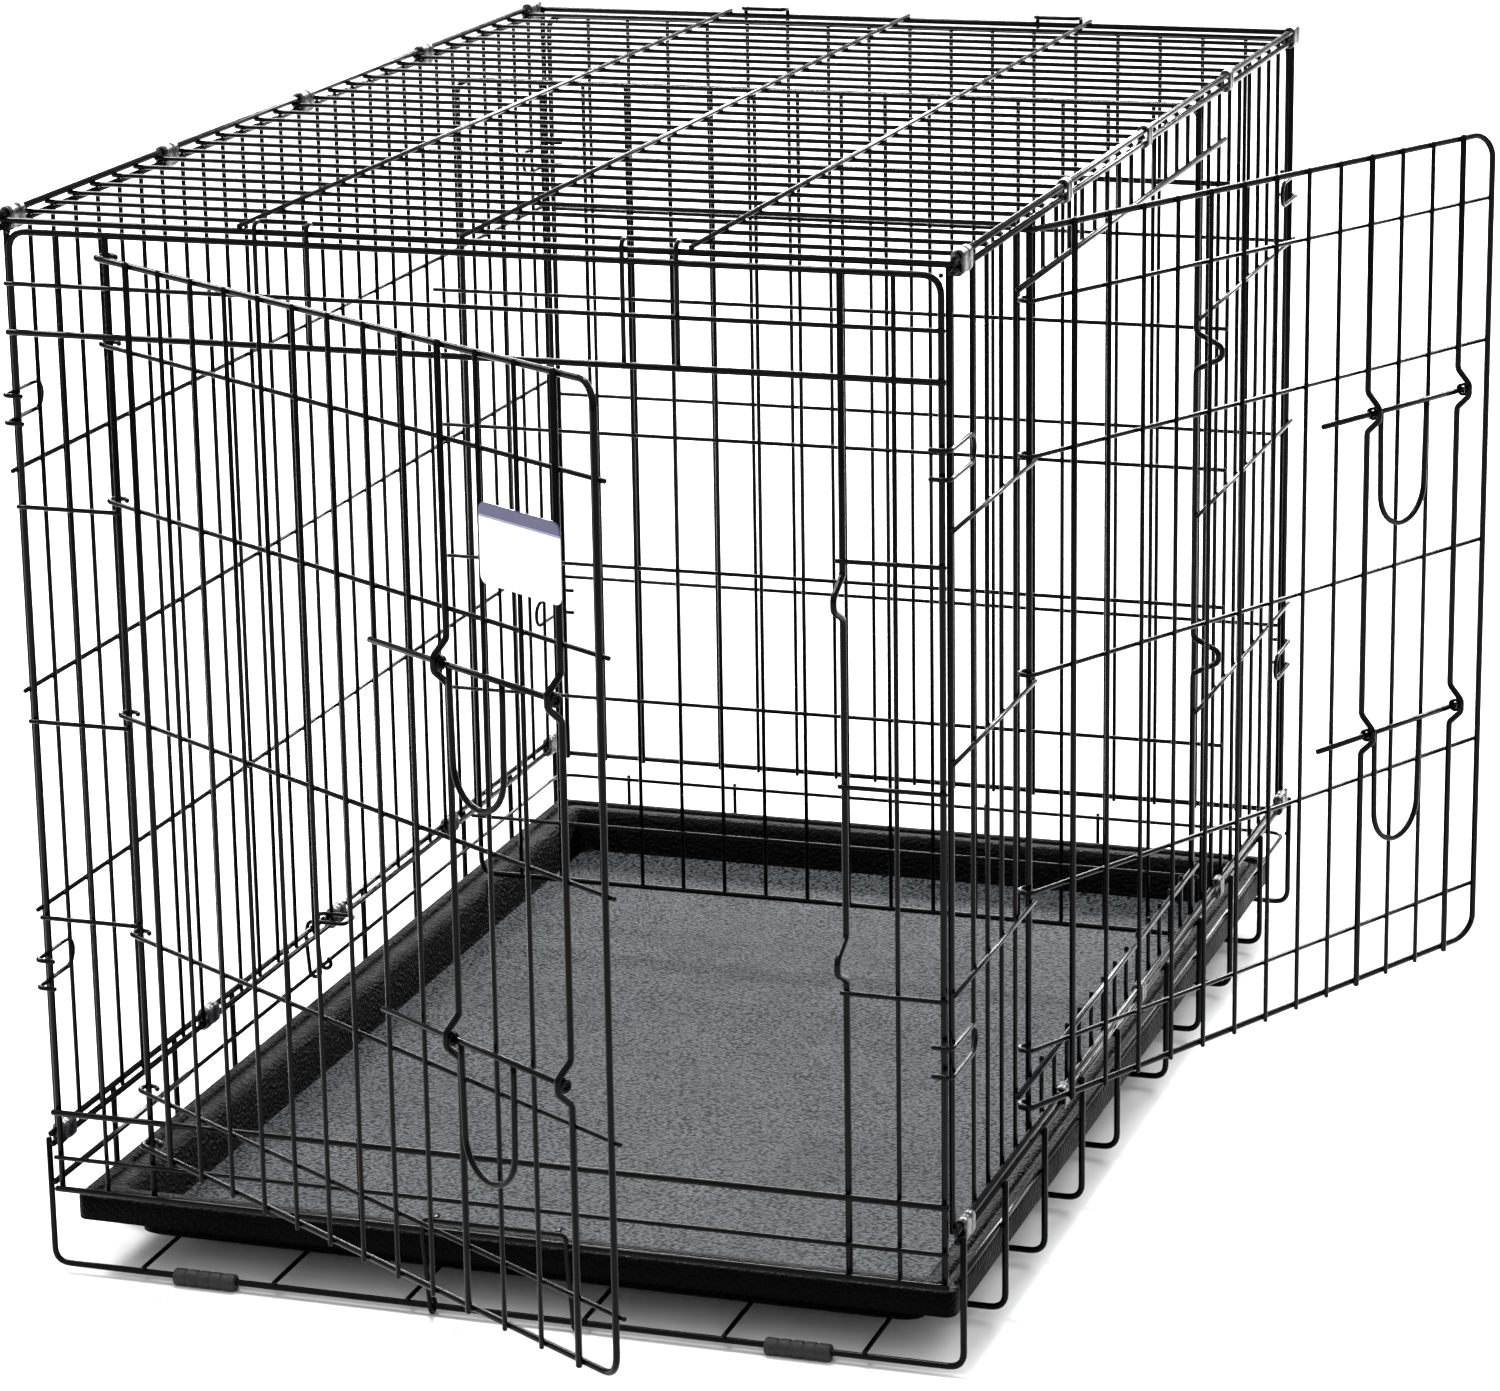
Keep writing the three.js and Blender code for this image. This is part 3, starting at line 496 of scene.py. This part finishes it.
def right_side_panel():
    shell = Shell()
    x = WIDTH - LAYER

    def upright(y, low, high, radius=THIN):
        shell.wire(radius, [(x, y, low), (x, y, high)])

    def welds(y, heights):
        grid_welds(shell, [(WIDTH - LAYER / 2, y, z) for z in heights], (1, 0, 0), THIN_WELD)

    ends = (SIDE_BOTTOM_Z, SIDE_TOP_Z)
    for z in ends:
        side_rod(shell, WIDTH, z, HEAVY)
    for y in RIGHT_WIRES:
        if SIDE_HINGE_Y + 1 < y < SIDE_JAMB_Y - 1:
            upright(y, SIDE_BOTTOM_Z - OVERLAP, SIDE_LOW_Z + OVERLAP)
            upright(y, SIDE_HIGH_Z - OVERLAP, SIDE_TOP_Z + OVERLAP)
            welds(y, (SIDE_BOTTOM_Z, SIDE_LOW_Z, SIDE_HIGH_Z, SIDE_TOP_Z))
            continue
        if abs(y - SIDE_JAMB_Y) > 1:
            heavy = y in (0, LENGTH) or abs(y - SIDE_HINGE_Y) < 1
            upright(y, SIDE_BOTTOM_Z - OVERLAP, SIDE_TOP_Z + OVERLAP, HEAVY if heavy else THIN)
        welds(y, (*ends, *SIDE_RODS_Z))
    jamb_ends = (SIDE_BOTTOM_Z - OVERLAP, SIDE_TOP_Z + OVERLAP)
    jamb(shell, lambda y, out, z: (x + out, y, z), SIDE_JAMB_Y, *jamb_ends, SIDE_DOOR["bolts"])
    side_rod(shell, WIDTH, SIDE_LOW_Z, HEAVY, SIDE_HINGE_Y - PITCH, SIDE_JAMB_Y)
    side_rod(shell, WIDTH, SIDE_HIGH_Z, HEAVY, SIDE_HINGE_Y - PITCH, SIDE_JAMB_Y + 2 * PITCH)
    for z in SIDE_RODS_Z:
        side_rod(shell, WIDTH, z, THIN, 0, SIDE_HINGE_Y)
        side_rod(shell, WIDTH, z, THIN, SIDE_JAMB_Y)
    corner_loops(shell, 1)
    wires_of(shell, "right_side_panel_wires", "crate", ["right_side_panel"])


def end_frame(shell, y, bottom):
    left, right = END_LEFT_X, END_RIGHT_X
    corners = [(left, y, bottom), (left, y, END_TOP_Z), (right, y, END_TOP_Z), (right, y, bottom)]
    shell.wire(HEAVY, rounded(corners))


def end_rod(shell, y, z, radius, low=END_LEFT_X, high=END_RIGHT_X):
    shell.wire(radius, [(low - END_NUB, y, z), (high + END_NUB, y, z)])


def top_hooks(shell, end, low):
    """Wires on an end panel that reach up over the top panel's end rod."""
    edge = LENGTH if end > 0 else 0
    y = edge + end * END_GAP
    inside = edge - end * TOP_HOOK_INSIDE
    over = TOP_END_Z + TOP_HOOK_RISE
    for left, right in TOP_HOOKS_X:
        up = [(left, y, low), (left, y, over), (left, inside, over)]
        down = [(right, inside, over), (right, y, over), (right, y, low)]
        shell.wire(THIN, rounded(up + down, 4))


def front_panel():
    shell = Shell()
    y = -END_GAP
    rod_y = y - LAYER
    bottom = FRONT_LOW_RODS_Z[0] - OVERLAP
    end_frame(shell, y, bottom)
    for z in (FRONT_LOW_RODS_Z[0], FRONT_LOW_Z, FRONT_HIGH_Z):
        end_rod(shell, rod_y, z, HEAVY)
    for z in (FRONT_LOW_RODS_Z[1], FRONT_HIGH_ROD_Z):
        end_rod(shell, rod_y, z, THIN)
    for z in FRONT_STUBS_Z:
        end_rod(shell, rod_y, z, THIN, END_LEFT_X, FRONT_HINGE_X)
        end_rod(shell, rod_y, z, THIN, FRONT_JAMB_X, END_RIGHT_X)
    jamb(shell, lambda x, out, z: (x, y - out, z), FRONT_JAMB_X, bottom, END_TOP_Z, FRONT_DOOR["bolts"])
    shell.wire(HEAVY, [(FRONT_HINGE_X, y, bottom), (FRONT_HINGE_X, y, END_TOP_Z)])
    full = (FRONT_HINGE_X - PITCH, FRONT_JAMB_X + PITCH)
    for x in full:
        shell.wire(THIN, [(x, y, bottom), (x, y, END_TOP_Z)])
    for x in FRONT_LOW_UPRIGHTS_X:
        shell.wire(THIN, [(x, y, bottom), (x, y, FRONT_LOW_Z + OVERLAP)])
    across = (*FRONT_LOW_RODS_Z, FRONT_LOW_Z, *FRONT_STUBS_Z, FRONT_HIGH_Z, FRONT_HIGH_ROD_Z)
    for x in (END_LEFT_X, full[0], FRONT_HINGE_X, FRONT_JAMB_X, full[1], END_RIGHT_X):
        grid_welds(shell, [(x, y - LAYER / 2, z) for z in across], (0, 1, 0), THIN_WELD)
        shell.weld((x, y, END_TOP_Z), (0, 1, 0), FRAME_WELD)
    top_hooks(shell, -1, FRONT_HIGH_Z - OVERLAP)
    for pair in TOP_HOOKS_X:
        places = [(x, y - LAYER / 2, z) for x in pair for z in (FRONT_HIGH_Z, FRONT_HIGH_ROD_Z)]
        grid_welds(shell, places, (0, 1, 0), THIN_WELD)
    wires_of(shell, "front_panel_wires", "crate", ["front_panel"])


def back_panel():
    shell = Shell()
    y = LENGTH + END_GAP
    bottom = BACK_RODS_Z[0] - OVERLAP
    end_frame(shell, y, bottom)
    for n, z in enumerate(BACK_RODS_Z):
        end_rod(shell, y + LAYER, z, THIN if n else HEAVY)
    for n in range(19):
        x = END_LEFT_X + n * (END_RIGHT_X - END_LEFT_X) / 18
        if 0 < n < 18:
            shell.wire(THIN, [(x, y, bottom), (x, y, END_TOP_Z)])
        grid_welds(shell, [(x, y + LAYER / 2, z) for z in BACK_RODS_Z], (0, 1, 0), THIN_WELD)
    top_hooks(shell, 1, END_TOP_Z - 0.5)
    wires_of(shell, "back_panel_wires", "crate", ["back_panel"])


def divider_panel():
    shell = Shell()
    y, left, right, low, high = (DIVIDER[key] for key in ("y", "left", "right", "low", "high"))
    middle = (left + right) / 2
    around = [(left, y, low), (left, y, high), (right, y, high), (right, y, low)]
    corners = [(middle, y, low), *around, (middle - 1, y, low)]
    shell.wire(HEAVY, rounded(corners))
    for n in range(18):
        x = left + n * (right - left) / 17
        if 0 < n < 17:
            shell.wire(THIN, [(x, y, low), (x, y, high)])
        grid_welds(shell, [(x, y - LAYER / 2, z) for z in DIVIDER_RODS_Z], (0, 1, 0), THIN_WELD)
    for n, z in enumerate(DIVIDER_RODS_Z):  # the lowest rod stops short of the side panels
        end = -DIVIDER_PAST_SIDE if n else left - DIVIDER_PAST_FRAME
        radius = HEAVY if n == len(DIVIDER_RODS_Z) - 1 else THIN
        shell.wire(radius, [(end, y - LAYER, z), (WIDTH - end, y - LAYER, z)])
    wires_of(shell, "divider_panel_wires", "crate", ["divider_panel"])


# ---- doors ---------------------------------------------------------------------------------------
def door(name, at, sizes):
    """A door drawn closed, with its hinge wire on the origin, then turned and moved into place."""
    shell = Shell(sizes["turn"], at)
    pitch, rods, bolts = sizes["pitch"], sizes["rods"], sizes["bolts"]
    low, high = rods[0], rods[-1]
    free = pitch * DOOR_COLUMNS
    inner, outer = -HINGE_LOOP, -HINGE_LOOP - LAYER

    def hinge_loop(z):
        turn = arc((0, 0), HINGE_LOOP, 40, 250, lambda a, b: (a, b, z), 14)
        return turn + [(0, inner, z), (3.5, inner, z)]

    def corner(z, towards):
        points = []
        for n in range(11):
            angle = math.radians(9 * n)
            across = free - DOOR_CORNER * (1 - math.sin(angle))
            step = (1 - math.cos(math.pi * n / 10)) / 2
            rise = towards * DOOR_CORNER * (1 - math.cos(angle))
            points.append((across, inner + (outer - inner) * step, z + rise))
        return points

    frame_path = hinge_loop(high) + corner(high, -1) + corner(low, 1)[::-1] + hinge_loop(low)[::-1]
    shell.wire(HEAVY, frame_path, 12)
    for z in rods[1:-1]:
        shell.wire(THIN, hinge_loop(z) + [(free + NUB, inner, z)])
        shell.weld((free, inner - LAYER / 2, z), (0, 1, 0), THIN_WELD)
    for n in range(1, DOOR_COLUMNS):
        x = n * pitch
        guide = n in GUIDE_COLUMNS
        corners = [(x, outer, low - OVERLAP)]
        for z in bolts if guide else ():
            corners += [(x, outer, z - GUIDE_ENDS), (x, -GUIDE_STAND_OFF, z - GUIDE_FLAT)]
            corners += [(x, -GUIDE_STAND_OFF, z + GUIDE_FLAT), (x, outer, z + GUIDE_ENDS)]
            keeper(shell, x, z)
        corners.append((x, outer, high + OVERLAP))
        radius = HEAVY if guide or n == 1 else THIN
        shell.wire(radius, rounded(corners, GUIDE_BEND) if guide else corners, 12 if guide else 10)
        grid_welds(shell, [(x, inner - LAYER / 2, z) for z in rods], (0, 1, 0), THIN_WELD)
    wires_of(shell, name + "_wires", name + "_leaf", [name])
    for which, z in zip(("lower", "upper"), bolts):
        bolt(f"{name}_{which}_bolt", at, sizes, z)


def keeper(shell, x, z):
    """The short coil in a guide, wound round the bolt with a small gap."""
    turns, half, steps, gap = 2, 2.2, 36, 0.3
    radius = BOLT_WIRE + KEEPER_WIRE + gap
    points = []
    for n in range(steps + 1):
        angle = 2 * math.pi * turns * n / steps
        along = x + half * (2 * n / steps - 1)
        points.append((along, -BOLT_STAND_OFF + radius * math.sin(angle), z + radius * math.cos(angle)))
    shell.wire(KEEPER_WIRE, points, 8)


def bolt(name, at, sizes, z):
    shell = Shell(sizes["turn"], at)
    y = -BOLT_STAND_OFF
    pitch = sizes["pitch"]
    shell.wire(BOLT_WIRE, [(sizes["bolt_start"], y, z), (GUIDE_COLUMNS[1] * pitch, y, z)], 12)
    left = GUIDE_COLUMNS[0] * pitch + HANDLE_START
    right = left + HANDLE_WIDTH
    low = z - HANDLE_DROP
    middle = (left + right) / 2
    shoulder = z - HANDLE_SHOULDER
    bow = arc((middle, low + HANDLE_WIDTH / 2), HANDLE_BOW, 180, 360, lambda a, b: (a, y, b), 20)
    shell.wire(BOLT_WIRE, [(left, y, z), (left, y, shoulder), *bow, (right, y, shoulder), (right, y, z)], 12)
    grid_welds(shell, [(left, y, z), (right, y, z)], (0, 1, 0), BOLT_WELD)
    wires_of(shell, name + "_wire", name + "_body", [name])


def tag():
    """The plain card on the outside of the front door."""
    shell = Shell(FRONT_DOOR["turn"], (FRONT_HINGE_X, -END_GAP, 0))
    y = -TAG_OUT
    corner = TAG["corner"]
    width, height = TAG["to"] - TAG["from"], TAG["high"] - TAG["low"]

    def outline(inset):
        points = []
        centres = ((1, 1, 0), (0, 1, 90), (0, 0, 180), (1, 0, 270))
        for right, up, start in centres:
            cx = TAG["from"] + (width - corner if right else corner)
            cz = TAG["low"] + (height - corner if up else corner)
            points += arc((cx, cz), corner - inset, start, start + 90, lambda a, b: (a, b), 6)
        return points

    rings = []
    for inset, depth in ((0.4, 0.5), (0.0, 0.25), (0.0, -0.25), (0.4, -0.5)):
        rings.append([(a, y + depth * TAG["thick"], b) for a, b in outline(inset)])
    starts = shell.patch(rings)
    count = len(rings[0])
    shell.faces.append(tuple(starts[0] + n for n in range(count)))
    shell.faces.append(tuple(starts[-1] + n for n in reversed(range(count))))
    card = shell.build("door_tag_card", "front_door_leaf", ["door_tag"], "tag_card", CARD, smooth=False)
    layer = card.data.uv_layers.new(name="card")
    for loop in card.data.loops:
        local = shell.points[loop.vertex_index]
        layer.data[loop.index].uv = ((local.x - TAG["from"]) / width, (local.z - TAG["low"]) / height)


# ---- base, tray and small parts ------------------------------------------------------------------
def base_frame():
    shell = Shell()
    left, right, top = -BASE_OUT, WIDTH + BASE_OUT, BASE_ROD_Z + BASE_PAST_ROD
    for y in [0.0, *FLOOR_BARS_Y, LENGTH]:
        shell.wire(HEAVY, rounded([(left, y, top), (left, y, 0), (right, y, 0), (right, y, top)], 10))
        for x in (-BASE_OUT / 2, WIDTH + BASE_OUT / 2):
            grid_welds(shell, [(x, y, z) for z in (RING_Z, BASE_ROD_Z)], (1, 0, 0), FRAME_WELD)
        grid_welds(shell, [(x, y, LAYER / 2) for x in FLOOR_RAILS_X], (0, 0, 1), THIN_WELD)
    back = LENGTH + LAYER
    for x in FLOOR_RAILS_X:
        shell.wire(THIN, rounded([(x, -RUN_ON, LAYER), (x, back, LAYER), (x, back, RING_Z + OVERLAP)], 6))
        shell.weld((x, LENGTH + LAYER / 2, RING_Z), (0, 1, 0), THIN_WELD)
    for x in (0, WIDTH):
        shell.wire(HEAVY, [(x, -RUN_ON, BASE_ROD_Z), (x, LENGTH + RUN_ON, BASE_ROD_Z)])
    lap = RING_HEAVY_TO - 10
    corners = [(0, lap, RING_Z), (0, LENGTH, RING_Z), (WIDTH, LENGTH, RING_Z), (WIDTH, lap, RING_Z)]
    shell.wire(THIN, rounded(corners, 14))
    for x in (0, WIDTH):
        shell.wire(HEAVY, [(x, -RUN_ON, RING_Z), (x, RING_HEAVY_TO, RING_Z)])
    wires_of(shell, "base_frame_wires", "crate", ["base_frame"])


def loop_of(inset, radius, z):
    """A rounded rectangle inside the tray's outer edge."""
    low_x, high_x = TRAY["left"] + inset, TRAY["right"] - inset
    low_y, high_y = TRAY["front"] + inset, TRAY["back"] - inset
    points = []
    for cx, cy, start in (
        (high_x - radius, high_y - radius, 0),
        (low_x + radius, high_y - radius, 90),
        (low_x + radius, low_y + radius, 180),
        (high_x - radius, low_y + radius, 270),
    ):
        points += arc((cx, cy), radius, start, start + 90, lambda a, b: (a, b, z), 6)
    return points


def tray():
    """The tray: a turned-down lip, two ridges round the rim, sloping walls and a flat floor."""
    shell = Shell()
    low, high = TRAY["low"], TRAY["high"]
    inner = TRAY["lip"]
    profile = [
        (2.6, 4.6, high - TRAY["skirt"]),
        (0.2, 6.8, high - TRAY["skirt"]),
        (0.0, 7.0, high - TRAY["skirt"] + 0.6),
        (0.0, 7.0, high - 1.6),
        (1.0, 6.0, high - 0.4),
        (2.4, 5.5, high),
        (6.0, 5.5, high),
        (7.4, 5.5, high - 0.8),
        (8.4, 5.5, high - 3.2),
        (12.0, 5.5, high - 3.4),
        (13.2, 5.5, high - 1.4),
        (14.4, 5.5, high - 0.6),
        (20.0, 5.5, high - 0.6),
        (22.4, 6.0, high - 1.4),
        (26.4, 7.0, high - 6.0),
        (inner + 1.0, 10.0, low + 8.0),
        (inner + 3.0, 12.0, low + 3.6),
        (inner + 6.5, 14.0, low + 2.5),
    ]
    under = [
        (inner + 3.0, 12.0, low),
        (inner + 0.4, 9.0, low + 2.0),
        (inner - 2.6, 7.0, high - 9.0),
        (18.0, 5.0, high - 3.2),
        (5.0, 4.5, high - 3.0),
        (2.6, 4.6, high - 5.0),
    ]
    rings = [loop_of(inset, radius, z) for inset, radius, z in profile]
    starts = shell.patch(rings)
    count = len(rings[0])
    shell.faces.append(tuple(starts[-1] + n for n in range(count)))
    rings = [loop_of(inset, radius, z) for inset, radius, z in under]
    lower = shell.patch(rings)
    shell.faces.append(tuple(lower[0] + n for n in reversed(range(count))))
    for n in range(count):
        m = (n + 1) % count
        shell.faces.append((lower[-1] + n, lower[-1] + m, starts[0] + m, starts[0] + n))
    shell.build("tray_pan", "tray_body", ["tray"], "tray_plastic", PLASTIC)


def tray_stop():
    shell = Shell()
    left, right, reach, height = (STOP[key] for key in ("left", "right", "reach", "height"))

    def eye(x, turn):
        return arc((0, 0), EYE, turn, -180, lambda a, b: (x, a, b), 14)

    shoulder = height - STOP["bend"]
    path = eye(left, 90) + [(left, -reach, shoulder)]
    tail = eye(right, 90)[::-1]
    corners = [path[-1], (left, -reach, height), (right, -reach, height), (right, -reach, shoulder)]
    shell.wire(THIN, path[:-1] + rounded([path[-2], *corners, tail[0]], 5)[1:-1] + tail)
    for x in (left + STOP["hooks_in"], right - STOP["hooks_in"]):
        shell.wire(THIN, [(x, -reach, height), (x, -3, height - 0.3)])
        shell.weld((x, -reach, height), (0, 0, 1), STOP_WELD)
    wires_of(shell, "tray_stop_wire", "tray_stop_body", ["tray_stop"])


def fold_hook():
    shell = Shell()
    front, back, reach, over, top = (FOLD_HOOK[key] for key in ("front", "back", "reach", "over", "top"))

    def eye(y, turn):
        return arc((0, RING_Z), EYE, turn, -180, lambda a, b: (a, y, b), 14)

    shoulder = top - FOLD_HOOK["bend"]
    head = eye(front, 60)
    tail = eye(back, 60)[::-1]
    corners = [
        head[-1],
        (-reach, front, shoulder),
        (2 - reach, front, top),
        (over, front, top),
        (over, back, top),
        (2 - reach, back, top),
        (-reach, back, shoulder),
        tail[0],
    ]
    shell.wire(THIN, head[:-1] + rounded(corners, 5) + tail[1:])
    wires_of(shell, "fold_hook_wire", "fold_hook_body", ["fold_hook"])


def clips():
    """Strip steel bent round two rods, with a shallow groove rolled round its middle."""
    inside, outside = 2.6, 3.9

    def outline(radius):
        upper = arc((0, ROD_GAP), radius, 0, 180, lambda a, b: (a, b), 10)
        lower = arc((0, 0), radius, 180, 360, lambda a, b: (a, b), 10)
        return upper + lower

    def strap(name, x, z):
        low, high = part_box(name)
        half = (high.y - low.y) / 2 / MM
        middle = ((low.y + high.y) / 2 - ORIGIN.y) / MM
        shell = Shell(0, (x, middle, z))
        edge = [(half, inside), (half, outside - 0.3), (half - 0.35, outside)]
        groove = [(half * 0.3, outside), (half * 0.3 - 0.5, outside - 0.25)]
        sections = [(-b, r) for b, r in edge + groove] + [(b, r) for b, r in reversed(edge + groove)]
        rings = [[(a, b, c) for a, c in outline(r)] for b, r in sections]
        starts = shell.patch(rings)
        count = len(rings[0])
        for k in range(count):
            m = (k + 1) % count
            shell.faces.append((starts[-1] + k, starts[-1] + m, starts[0] + m, starts[0] + k))
        shell.build(name + "_strap", "crate", [name], "clip_steel", STRAP)

    for level, z in (("top", SIDE_TOP_Z), ("bottom", BASE_ROD_Z)):
        for side, x in (("left", 0.0), ("right", WIDTH)):
            for n in range(1, 6):
                strap(f"{level}_{side}_clip_{n}", x, z)


def feet():
    """Rubber sleeves round the lowest front and back wires, flattened where they stand."""
    sides = 24
    for end, y in (("front", 0.0), ("back", LENGTH)):
        for side, sign in (("left", -1), ("right", 1)):
            shell = Shell(0, (WIDTH / 2 + sign * FOOT["from_centre"], y, 0))
            centre = (FOOT["high"] + FOOT["low"]) / 2
            radius = (FOOT["high"] - FOOT["low"]) / 2
            half = FOOT["length"] / 2

            def section(x, r):
                points = []
                for n in range(sides):
                    angle = 2 * math.pi * n / sides
                    z = centre + r * math.sin(angle) * 1.03
                    points.append((x, r * math.cos(angle), max(z, FOOT["low"] + (radius - r) * 0.4)))
                return points

            ends = [(-half, 2.0), (-half, radius - 1.2), (-half + 0.5, radius - 0.4), (-half + 1.4, radius)]
            grooves = []
            for k in (-12, -4, 4, 12):
                grooves += [(k - 1.1, radius), (k - 0.6, radius - 0.45)]
                grooves += [(k + 0.6, radius - 0.45), (k + 1.1, radius)]
            mirror = [(-x, r) for x, r in reversed(ends)]
            rings = [section(x, r) for x, r in ends + grooves + mirror]
            starts = shell.patch([list(reversed(ring)) for ring in rings])
            shell.faces.append(tuple(starts[0] + n for n in reversed(range(sides))))
            shell.faces.append(tuple(starts[-1] + n for n in range(sides)))
            name = f"{end}_{side}_foot"
            shell.build(name + "_sleeve", "crate", [name], "foot_rubber", RUBBER)


base_frame()
left_side_panel()
right_side_panel()
front_panel()
back_panel()
top_panel()
divider_panel()
door("front_door", (FRONT_HINGE_X, -END_GAP, 0), FRONT_DOOR)
door("side_door", (WIDTH - CAD_LAYER, SIDE_HINGE_Y, 0), SIDE_DOOR)
tag()
tray()
tray_stop()
fold_hook()
clips()
feet()

# ---- stage, light and camera ---------------------------------------------------------------------
scene = bpy.context.scene
scene.view_settings.view_transform = "Standard"


def stage_floor():
    mesh = bpy.data.meshes.new("studio_floor")
    half = 60.0
    corners = [(-half, -half, 0), (half, -half, 0), (half, half, 0), (-half, half, 0)]
    mesh.from_pydata(corners, [], [(0, 1, 2, 3)])
    floor = bpy.data.objects.new("studio_floor", mesh)
    scene.collection.objects.link(floor)
    n = Nodes("studio_paper")
    colour = n.mix(n.noise(1.5, 2.0), (0.86, 0.86, 0.86), (0.89, 0.89, 0.89))
    floor.data.materials.append(n.into(Base_Color=colour, Roughness=0.85))


def studio_world():
    """A bright ceiling that falls off towards the walls, so that upright wires stay black."""
    world = bpy.data.worlds.new("studio_air")
    scene.world = world
    world.use_nodes = True
    tree = world.node_tree
    direction = tree.nodes.new("ShaderNodeTexCoord").outputs["Generated"]
    split = tree.nodes.new("ShaderNodeSeparateXYZ")
    tree.links.new(direction, split.inputs["Vector"])
    fall = tree.nodes.new("ShaderNodeMapRange")
    tree.links.new(split.outputs["Z"], fall.inputs["Value"])
    fall.inputs["To Min"].default_value = 0.35
    fall.inputs["To Max"].default_value = 1.65
    tree.links.new(fall.outputs["Result"], tree.nodes["Background"].inputs["Strength"])
    tree.nodes["Background"].inputs["Color"].default_value = (1, 1, 1, 1)


def softbox(name, place, target, size, power):
    light = bpy.data.lights.new(name, "AREA")
    light.shape = "RECTANGLE"
    light.size, light.size_y = size
    light.energy = power
    lamp = bpy.data.objects.new(name, light)
    lamp.location = place
    lamp.rotation_euler = (Vector(target) - Vector(place)).to_track_quat("-Z", "Y").to_euler()
    lamp.visible_camera = False
    scene.collection.objects.link(lamp)


def camera(place, yaw, pitch, roll, focal_length):
    """A level camera that looks along +Y, turned left by yaw, down by pitch and then rolled, in degrees."""
    lens = bpy.data.cameras.new("view")
    lens.sensor_width = 36
    lens.lens = focal_length
    lens.clip_end = 150
    view = bpy.data.objects.new("view", lens)
    view.location = ORIGIN + Vector(place) * MM
    left, down = math.radians(yaw), math.radians(pitch)
    forward = Vector((-math.sin(left) * math.cos(down), math.cos(left) * math.cos(down), -math.sin(down)))
    view.rotation_mode = "QUATERNION"
    view.rotation_quaternion = forward.to_track_quat("-Z", "Y")
    view.rotation_quaternion.rotate(Matrix.Rotation(math.radians(roll), 3, forward).to_quaternion())
    scene.collection.objects.link(view)
    scene.camera = view


stage_floor()
studio_world()
softbox("back_strip", place=(-0.4, 4.6, 2.3), target=(-0.1, 0, 0.3), size=(5.0, 0.8), power=480)
softbox("top_softbox", place=(-0.7, 0.4, 3.2), target=(0, 0, 0.3), size=(0.45, 0.45), power=70)
softbox("left_softbox", place=(-2.2, 0.85, 2.4), target=(-0.1, -0.4, 0.35), size=(0.7, 0.7), power=70)
camera(place=(1329.0, -2598.3, 1190.3), yaw=18.38, pitch=15.95, roll=0.9, focal_length=117.5)
